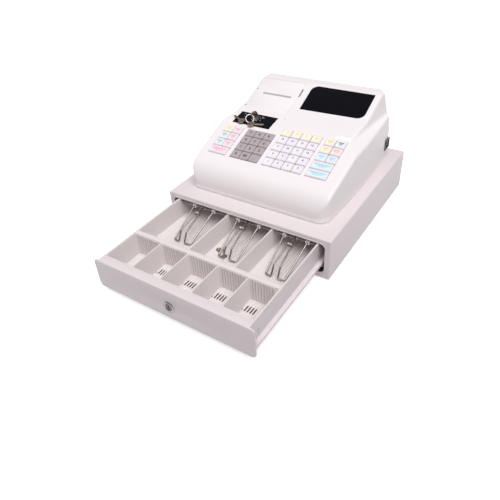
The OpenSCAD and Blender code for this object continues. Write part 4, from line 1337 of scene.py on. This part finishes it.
addKeys("functionKeysLeft", "function_keys_left",
        [{"cell": ("a", 0, r), "top": int(r == 3), "ink": int(r == 3)} for r in (1, 2, 3)],
        ["paleTeal", "paleYellow"], ["tealInk", "yellowInk"])
addKeys("functionKeysRight", "function_keys_right",
        [{"cell": ("a", 1, r)} for r in (1, 2, 3)], ["pink"], ["pinkInk"])
addKeys("functionKeyWide", "function_key_wide",
        [{"cell": ("a", 0, 0, 2), "wide": 30.0}], ["pink"], ["pinkInk"])
for column in range(4):
    caps = [{"cell": ("c", column, row), "top": int(row == 4), "text": str(row * 4 + column + 1), "size": 5.4,
             "up": 1.6, "ink": int(row == 4)} for row in range(5)]
    addKeys("departmentKeys" + str(column + 1), "department_keys_" + str(column + 1), caps,
            ["lavender" if column % 2 else "white", "paleYellow"], ["greyInk", "yellowInk"])
addKeys("totalKeysLeft", "total_keys_left",
        [{"cell": ("d", 0, r), "top": int(r < 3), "ink": int(r < 3)} for r in (2, 3, 4)],
        ["paleYellow", "blue"], ["yellowInk", "blueInk"])
addKeys("totalKeysRight", "total_keys_right",
        [{"cell": ("d", 1, r), "top": 4 - r, "ink": 4 - r} for r in (2, 3, 4)],
        ["paleGreen", "rose", "blue"], ["greyInk", "roseInk", "blueInk"])
addKeys("totalKeysWide", "total_keys_wide",
        [{"cell": ("d", 0, r, 2), "wide": 30.0} for r in (0, 1)], ["blue"], ["blueInk"])
print("keys ready")


# ---- drawer ----

drawer = {"width": 306.0, "low": 10.5, "high": 67.5, "thick": 3.0, "radius": 8.0, "edge": 1.1,
          "ledge": (-144.0, 144.0, 15.4, 2.5), "lock": (0.0, 35.0)}


def makeDrawerFront(v):
    half = v["width"] / 2
    outline = roundedLoop(-half, v["low"], half, v["high"], v["radius"], 8)
    # plate lies in X and Z; its local Z runs back into the drawer
    turn = Matrix(((1, 0, 0, 0), (0, 0, 1, 0), (0, 1, 0, 0), (0, 0, 0, 1)))
    shape = bmesh.new()
    absorb(shape, plate([outline, circle(*v["lock"], 8.1, 40)], v["thick"], v["edge"]),
           Matrix.Translation((0, v["thick"] / 2, 0)) @ turn)
    x0, x1, depth, thick = v["ledge"]
    softBox(shape, (x0, 1.2, v["high"] - thick), (x1, depth, v["high"]), 0.7)
    addPiece("drawerFace", shape, drawerFrame, "steelPaint", "drawer", "drawer_front", 40)


makeDrawerFront(drawer)


def makeDrawerLock(v):
    # local Z points out of the front
    turn = turned((v["lock"][0], 0, v["lock"][1]), 90)
    shape = bmesh.new()
    ring = [(6.05, -9.5), (8.0, -9.5), (8.0, 0.0), (9.7, 0.0), (10.0, 0.3), (10.0, 0.8), (9.5, 1.45),
            (8.6, 1.8), (7.6, 1.75), (7.0, 1.3), (6.5, 0.7), (6.05, 0.5)]
    lathe(shape, ring, turn, 56, ring=True)
    addPiece("lockRim", shape, drawerFrame, "nickel", "drawer", "drawer_lock")
    shape = bmesh.new()
    lathe(shape, [(6, -9.5), (6, 0.9), (5.7, 1.2), (4.4, 1.25), (4.1, 0.9)], turn, 44)
    tool = bmesh.new()
    boxInto(tool, (-0.75, -3.4, -3.5), (0.75, 3.4, 3), turn)
    # the slot's own finish passes to the faces that it leaves; the keyway is painted near-black, as painted
    # shade
    body = cut(meshOf(shape, [paint["wornNickel"], paint["slotDark"]]), meshOf(tool, [paint["slotDark"]]))
    shape = bmesh.new()
    shape.from_mesh(body)
    bpy.data.meshes.remove(body)
    softBox(shape, (-4, 9.9, 23), (4, 11.4, 40), 0.4)
    addPiece("lockPlug", shape, drawerFrame, "wornNickel slotDark", "drawer_lock_plug", "drawer_lock_plug")


makeDrawerLock(drawer)

tray = {
    "half": 142.8,
    "y": (15.6, 278.0),
    "z": (20.0, 67.0),
    "wall": 2.0,
    "coinFloor": 22.0,
    "coinEnd": 86.5,
    "cross": 9.0,
    "billFloor": 28.0,
    "coinWalls": [-82.5, -26.0, 33.5, 89.0],
    "billWalls": [-32.0, 58.0],
    "corner": 2.0,
    "ribPitch": 5.0,
    "ribRadius": 1.75,
    "ribSunk": 0.3,
    "smoothShare": 0.38,
    "slots": {"count": 4, "from": 59.5, "to": 72.5, "wide": 2.3},
}


def roomsBetween(v, walls):
    edge = v["half"] - v["wall"]
    marks = [-edge - v["wall"] / 2] + list(walls) + [edge + v["wall"] / 2]
    return [(a + v["wall"] / 2, b - v["wall"] / 2) for a, b in zip(marks, marks[1:])]


def roomTool(tool, x0, x1, y0, y1, floor, top, v):
    # a pocket with round corners, round floor edges and a lip that flares at the top
    r = v["corner"]
    levels = [(floor, r * 0.9), (floor + r * 0.12, r * 0.45), (floor + r * 0.4, r * 0.15), (floor + r, 0.0),
              (top - 0.7, 0.0), (top - 0.2, -0.2), (top, -0.5), (top + 1, -0.5)]
    stack(tool, levels, lambda inset: roundedLoop(x0, y0, x1, y1, r - inset * 0.4, 4, inset))


def ribStarts(v, x0, x1):
    # middle of each rib in a pocket; the grooves between them fall on the slots
    count = int((x1 - x0 - 1) // v["ribPitch"])
    return [x0 + v["ribPitch"] * (i + 0.5) for i in range(count)]


def slotLoops(v, x0, grow):
    y0, y1 = v["slots"]["from"] - grow, v["slots"]["to"] + grow
    half = v["slots"]["wide"] / 2 + grow
    middles = [x0 + v["ribPitch"] * k for k in range(1, v["slots"]["count"] + 1)]
    loops = [roundedLoop(x - half, y0, x + half, y1, half * 0.7, 3) for x in middles]
    # a short drain slot beside the left wall
    return loops + [roundedLoop(x0 + 0.2, y0, x0 + 1.4, y0 + 3.2, 0.5, 3)]


def makeTray(v):
    shape = bmesh.new()
    softBox(shape, (-v["half"], v["y"][0], v["z"][0]), (v["half"], v["y"][1], v["z"][1]), 0.5)
    coinY = (v["y"][0] + v["wall"], v["coinEnd"])
    billY = (v["coinEnd"] + v["cross"], v["y"][1] - v["wall"])
    coinRooms = roomsBetween(v, v["coinWalls"])
    billRooms = roomsBetween(v, v["billWalls"])
    top, coinFloor, billFloor = v["z"][1], v["coinFloor"], v["billFloor"]
    body = carve(meshOf(shape), *((roomTool, *room, *coinY, coinFloor, top, v) for room in coinRooms),
                 *((roomTool, *room, *billY, billFloor, top, v) for room in billRooms))
    coinRun, billRun = coinY[1] - coinY[0], billY[1] - billY[0]
    # where each kind of rib runs to, its radius, sides and finish; the darker finish on the strips along the
    # grooves is painted shade
    kinds = {
        "wallRib": ((0, 0, 43.5), v["ribRadius"], 12, 0),
        "floorRib": ((0, coinRun - 1.4, 0), 1.35, 12, 0),
        "billRib": ((0, billRun - 5, 0), 1.2, 12, 0),
        "wallGrooveShade": ((0, 0, 42.5), 0.75, 6, 1),
        "floorGrooveShade": ((0, coinRun - 4, 0), 0.75, 6, 1),
        "shortGrooveShade": ((0, coinY[1] - v["slots"]["to"] - 1.0, 0), 0.75, 6, 1),
        "billGrooveShade": ((0, billRun - 5, 0), 0.75, 6, 1),
    }
    starts = {kind: [] for kind in kinds}
    slots = []
    slotShadeFill = bmesh.new()
    half = v["ribPitch"] / 2
    for x0, x1 in coinRooms:
        # the leftmost pocket's slots are covered by ribs
        hasSlots = x0 != coinRooms[0][0]
        if hasSlots:
            slots += [(prism, loop, 20.5, 24) for loop in slotLoops(v, x0, 0.0)]
            # dark strips set in the coin slots: painted shade where the slots look down to the pan
            for loop in slotLoops(v, x0, -0.02):
                prism(slotShadeFill, loop, 20.6, 21.9)
        for x in ribStarts(v, x0, x1):
            starts["wallRib"].append((x, v["coinEnd"] + v["ribSunk"], coinFloor - 0.5))
            starts["floorRib"].append((x, coinY[0] + 1.2, coinFloor - 0.5))
            starts["wallGrooveShade"].append((x - half, v["coinEnd"] + 0.35, coinFloor - 0.5))
            # the grooves between the first ribs end at the slots
            if hasSlots and x - x0 < v["ribPitch"] * (v["slots"]["count"] + 0.6):
                starts["shortGrooveShade"].append((x - half, v["slots"]["to"] + 0.8, coinFloor - 0.6))
            else:
                starts["floorGrooveShade"].append((x - half, coinY[0] + 3, coinFloor - 0.6))
    for x0, x1 in billRooms:
        # the left part of a bill pocket's floor is smooth
        ribbed = [x for x in ribStarts(v, x0, x1)[1:-1] if x > x0 + (x1 - x0) * v["smoothShare"]]
        starts["billRib"] += [(x, billY[0] + 3, billFloor - 0.4) for x in ribbed]
        starts["billGrooveShade"] += [(x - half, billY[0] + 3, billFloor - 0.5) for x in ribbed]
    shape = bmesh.new()
    absorb(shape, carve(body, *slots))
    for kind, (to, radius, sides, finish) in kinds.items():
        absorb(shape, grow(ribTree, starts[kind], To=to, Radius=radius, Sides=sides, Finish=paint["tray"]),
               material=finish)
    addPiece("tillInsert", shape, drawerFrame, "tray trayShade", "drawer", "till_tray", 35)
    addPiece("slotFelt", slotShadeFill, drawerFrame, "slotDark", "drawer")


makeTray(tray)

clip = {"rod": (212.5, 60.0), "wire": 1.45, "hub": 21.5, "toe": 30.6, "hubHalf": 3.5,
        "coil": {"Turns": 4.5, "Radius": 3.1, "Length": 7.4, "Wire": 1.25},
        "centres": {"left": -87.5, "middle": 8.7, "right": 101.6}}


def makeClip(v, which):
    x, y0, z0 = v["centres"][which], *v["rod"]
    r, hub, low = v["wire"], v["hub"], v["toe"]
    shape = bmesh.new()
    for m in (-1, 1):
        leg = [(hub, y0 + 1, z0), (hub, y0 - 4, z0), (17.5, y0 - 72, low), (6, y0 - 74, low),
               (6, y0 - 64, z0 - 11), (4, y0 - 27, z0 + 0.5), (4, y0 - 21, z0 + 1.2)]
        sweep(shape, softPath([(x + m * p[0], p[1], p[2]) for p in leg], 3.2), r, 12)
        middle = Vector((x + m * hub, y0, z0))
        reach = Vector([v["hubHalf"]] * 3)
        softBox(shape, middle - reach, middle + reach, 0.7, still, 1)
    # the sprung coil between the legs
    coil = grow(springTree, [(0, 0, 0)], Finish=paint["brightSteel"], **v["coil"])
    absorb(shape, coil, turned((x - 3.7, y0 - 22, z0 + 1.2), 90, "Y"))
    tail = [(x, y0 - 18.4, z0 + 2.6), (x, y0 - 10, z0 + 3.4), (x, y0 - 2, z0 + 1.6)]
    sweep(shape, softPath(tail, 3), r, 12)
    lathe(shape, [(1.6, 0), (2.8, 0), (3.2, 0.4), (3.2, 7.6), (2.8, 8), (1.6, 8)],
          turned((x - 4, y0, z0), 90, "Y"), 28, ring=True)
    node = "bill_clip_" + which
    addPiece("billSpring" + which.capitalize(), shape, drawerFrame, "brightSteel collar", node, node,
             50)


for which in clip["centres"]:
    makeClip(clip, which)


looseDrawerKeys = {"bow": 5.0, "reach": 15.0, "blade": 3.2, "thick": 1.0, "hole": 1.6,
                   "height": 28.5, "places": [(-19, 156, -51), (-0.2, 145.6, 130)]}


def makeDrawerKeys(v):
    shape = bmesh.new()
    for x, y, angle in v["places"]:
        mesh = plate([keyOutline(v), circle(-1.5, 0, v["hole"], 18)], v["thick"], 0.2)
        absorb(shape, mesh, turned((x, y, v["height"]), angle, "Z"))
    addPiece("looseDrawerKeys", shape, drawerFrame, "brass", "drawer", "drawer_keys")


makeDrawerKeys(looseDrawerKeys)

kick = {"x": 45.0, "z": 34.0, "radius": 8.0, "wire": 1.0, "length": 76.0, "turns": 9.0, "rear": 341.6}


def makeKickSpring(v):
    coil = grow(springTree, [(0, 0, 0)], Turns=v["turns"], Radius=v["radius"], Length=v["length"],
                Wire=v["wire"], Finish=paint["brightSteel"])
    place = turned((v["x"], v["rear"], v["z"]), 90)
    piece = addPiece("kickSpringCoil", coil, cabinetFrame @ place, "brightSteel", "cabinet", "kick_spring",
                     60)
    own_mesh(piece)


makeKickSpring(kick)

screws = {"radius": 2.9, "height": 1.1, "half": 144.0, "side": [(-1, 22.5, 43), (1, 22.5, 43)]}


def makeScrews(v):
    shape = bmesh.new()
    r, h = v["radius"], v["height"]
    lathe(shape, [(r, -0.1), (r, 0.25), (r * 0.86, h * 0.72), (r * 0.5, h), (r * 0.3, h)], still, 24)
    head = meshOf(shape)
    for x, y in ((r * 0.62, 0.32), (0.32, r * 0.62)):
        head = carve(head, (softBox, (-x, -y, h - 0.65), (x, y, h + 1), 0.1))
    places = [((facing * v["half"], y, z), (0, math.radians(90 * facing), 0))
              for facing, y, z in v["side"]]
    addPiece("frontScrews", repeatPart(head, places, paint["zinc"]), drawerFrame, "zinc", "drawer")


makeScrews(screws)
print("drawer ready")


# ---- finishes of the frame's own parts ----

nodePaint = {
    "cabinet_base": "zinc", "slide_rails": "zinc", "latch_solenoid": "iron", "case_screws": "zinc",
    "keyboard_board": "board", "main_board": "board", "transformer": "iron", "printer_frame": "black",
    "mains_inlet": "black", "drawer_pan": "steelPaint", "clip_rod": "brightSteel", "latch_hook": "zinc",
    "tear_bar": "brightSteel", "platen_roller": "rubber", "paper_roll": "paper", "cabinet_rollers": "roller",
    "drawer_rollers": "roller",
}
for name, finishName in nodePaint.items():
    mesh = nodes[name]
    mesh.data.materials.clear()
    mesh.data.materials.append(paint[finishName])


def makeFloor(v):
    shape = bmesh.new()
    bmesh.ops.create_grid(shape, x_segments=8, y_segments=8, size=9)
    mesh = bpy.data.meshes.new("floor")
    shape.to_mesh(mesh)
    shape.free()
    hand, spot = newFinish("floor")
    clouds = hand.noise(spot, 3.0)
    base = hand.colours(clouds, v["floorColour"], rgb(0.915, 0.91, 0.915))
    mesh.materials.append(closeFinish(hand, {
        "Base Color": base, "Roughness": 0.8 + clouds * 0.1, "Specular IOR Level": 0.1,
        "Emission Color": rgb(1, 1, 1), "Emission Strength": v["floorGlow"]}, v["floorColour"]))
    floor = placed("floor", mesh)
    # it takes shadows, but throws no light back on the object
    floor.visible_diffuse = False


makeFloor(studio)


def makeBackdrop(v):
    # pale wall all round, far away; it is only seen and lights nothing
    shape = bmesh.new()
    extent = circle(0, 0, v["radius"], 64)
    low, high = ([shape.verts.new((x, y, z)) for x, y in extent] for z in (0.0, v["height"]))
    for i in range(64):
        j = (i + 1) % 64
        shape.faces.new((low[j], low[i], high[i], high[j]))
    mesh = bpy.data.meshes.new("backdrop")
    shape.to_mesh(mesh)
    shape.free()
    hand, spot = newFinish("backdrop")
    clouds = hand.noise(spot, 0.3)
    glow = hand.colours(clouds, v["colour"], rgb(0.86, 0.855, 0.86))
    mesh.materials.append(closeFinish(hand, {
        "Base Color": rgb(0, 0, 0), "Roughness": 0.9, "Specular IOR Level": 0.0,
        "Emission Color": glow, "Emission Strength": v["glow"]}, v["colour"]))
    wall = placed("backdrop", mesh)
    wall.visible_diffuse = False
    wall.visible_glossy = False
    wall.visible_transmission = False
    wall.visible_shadow = False


makeBackdrop(studio["backdrop"])
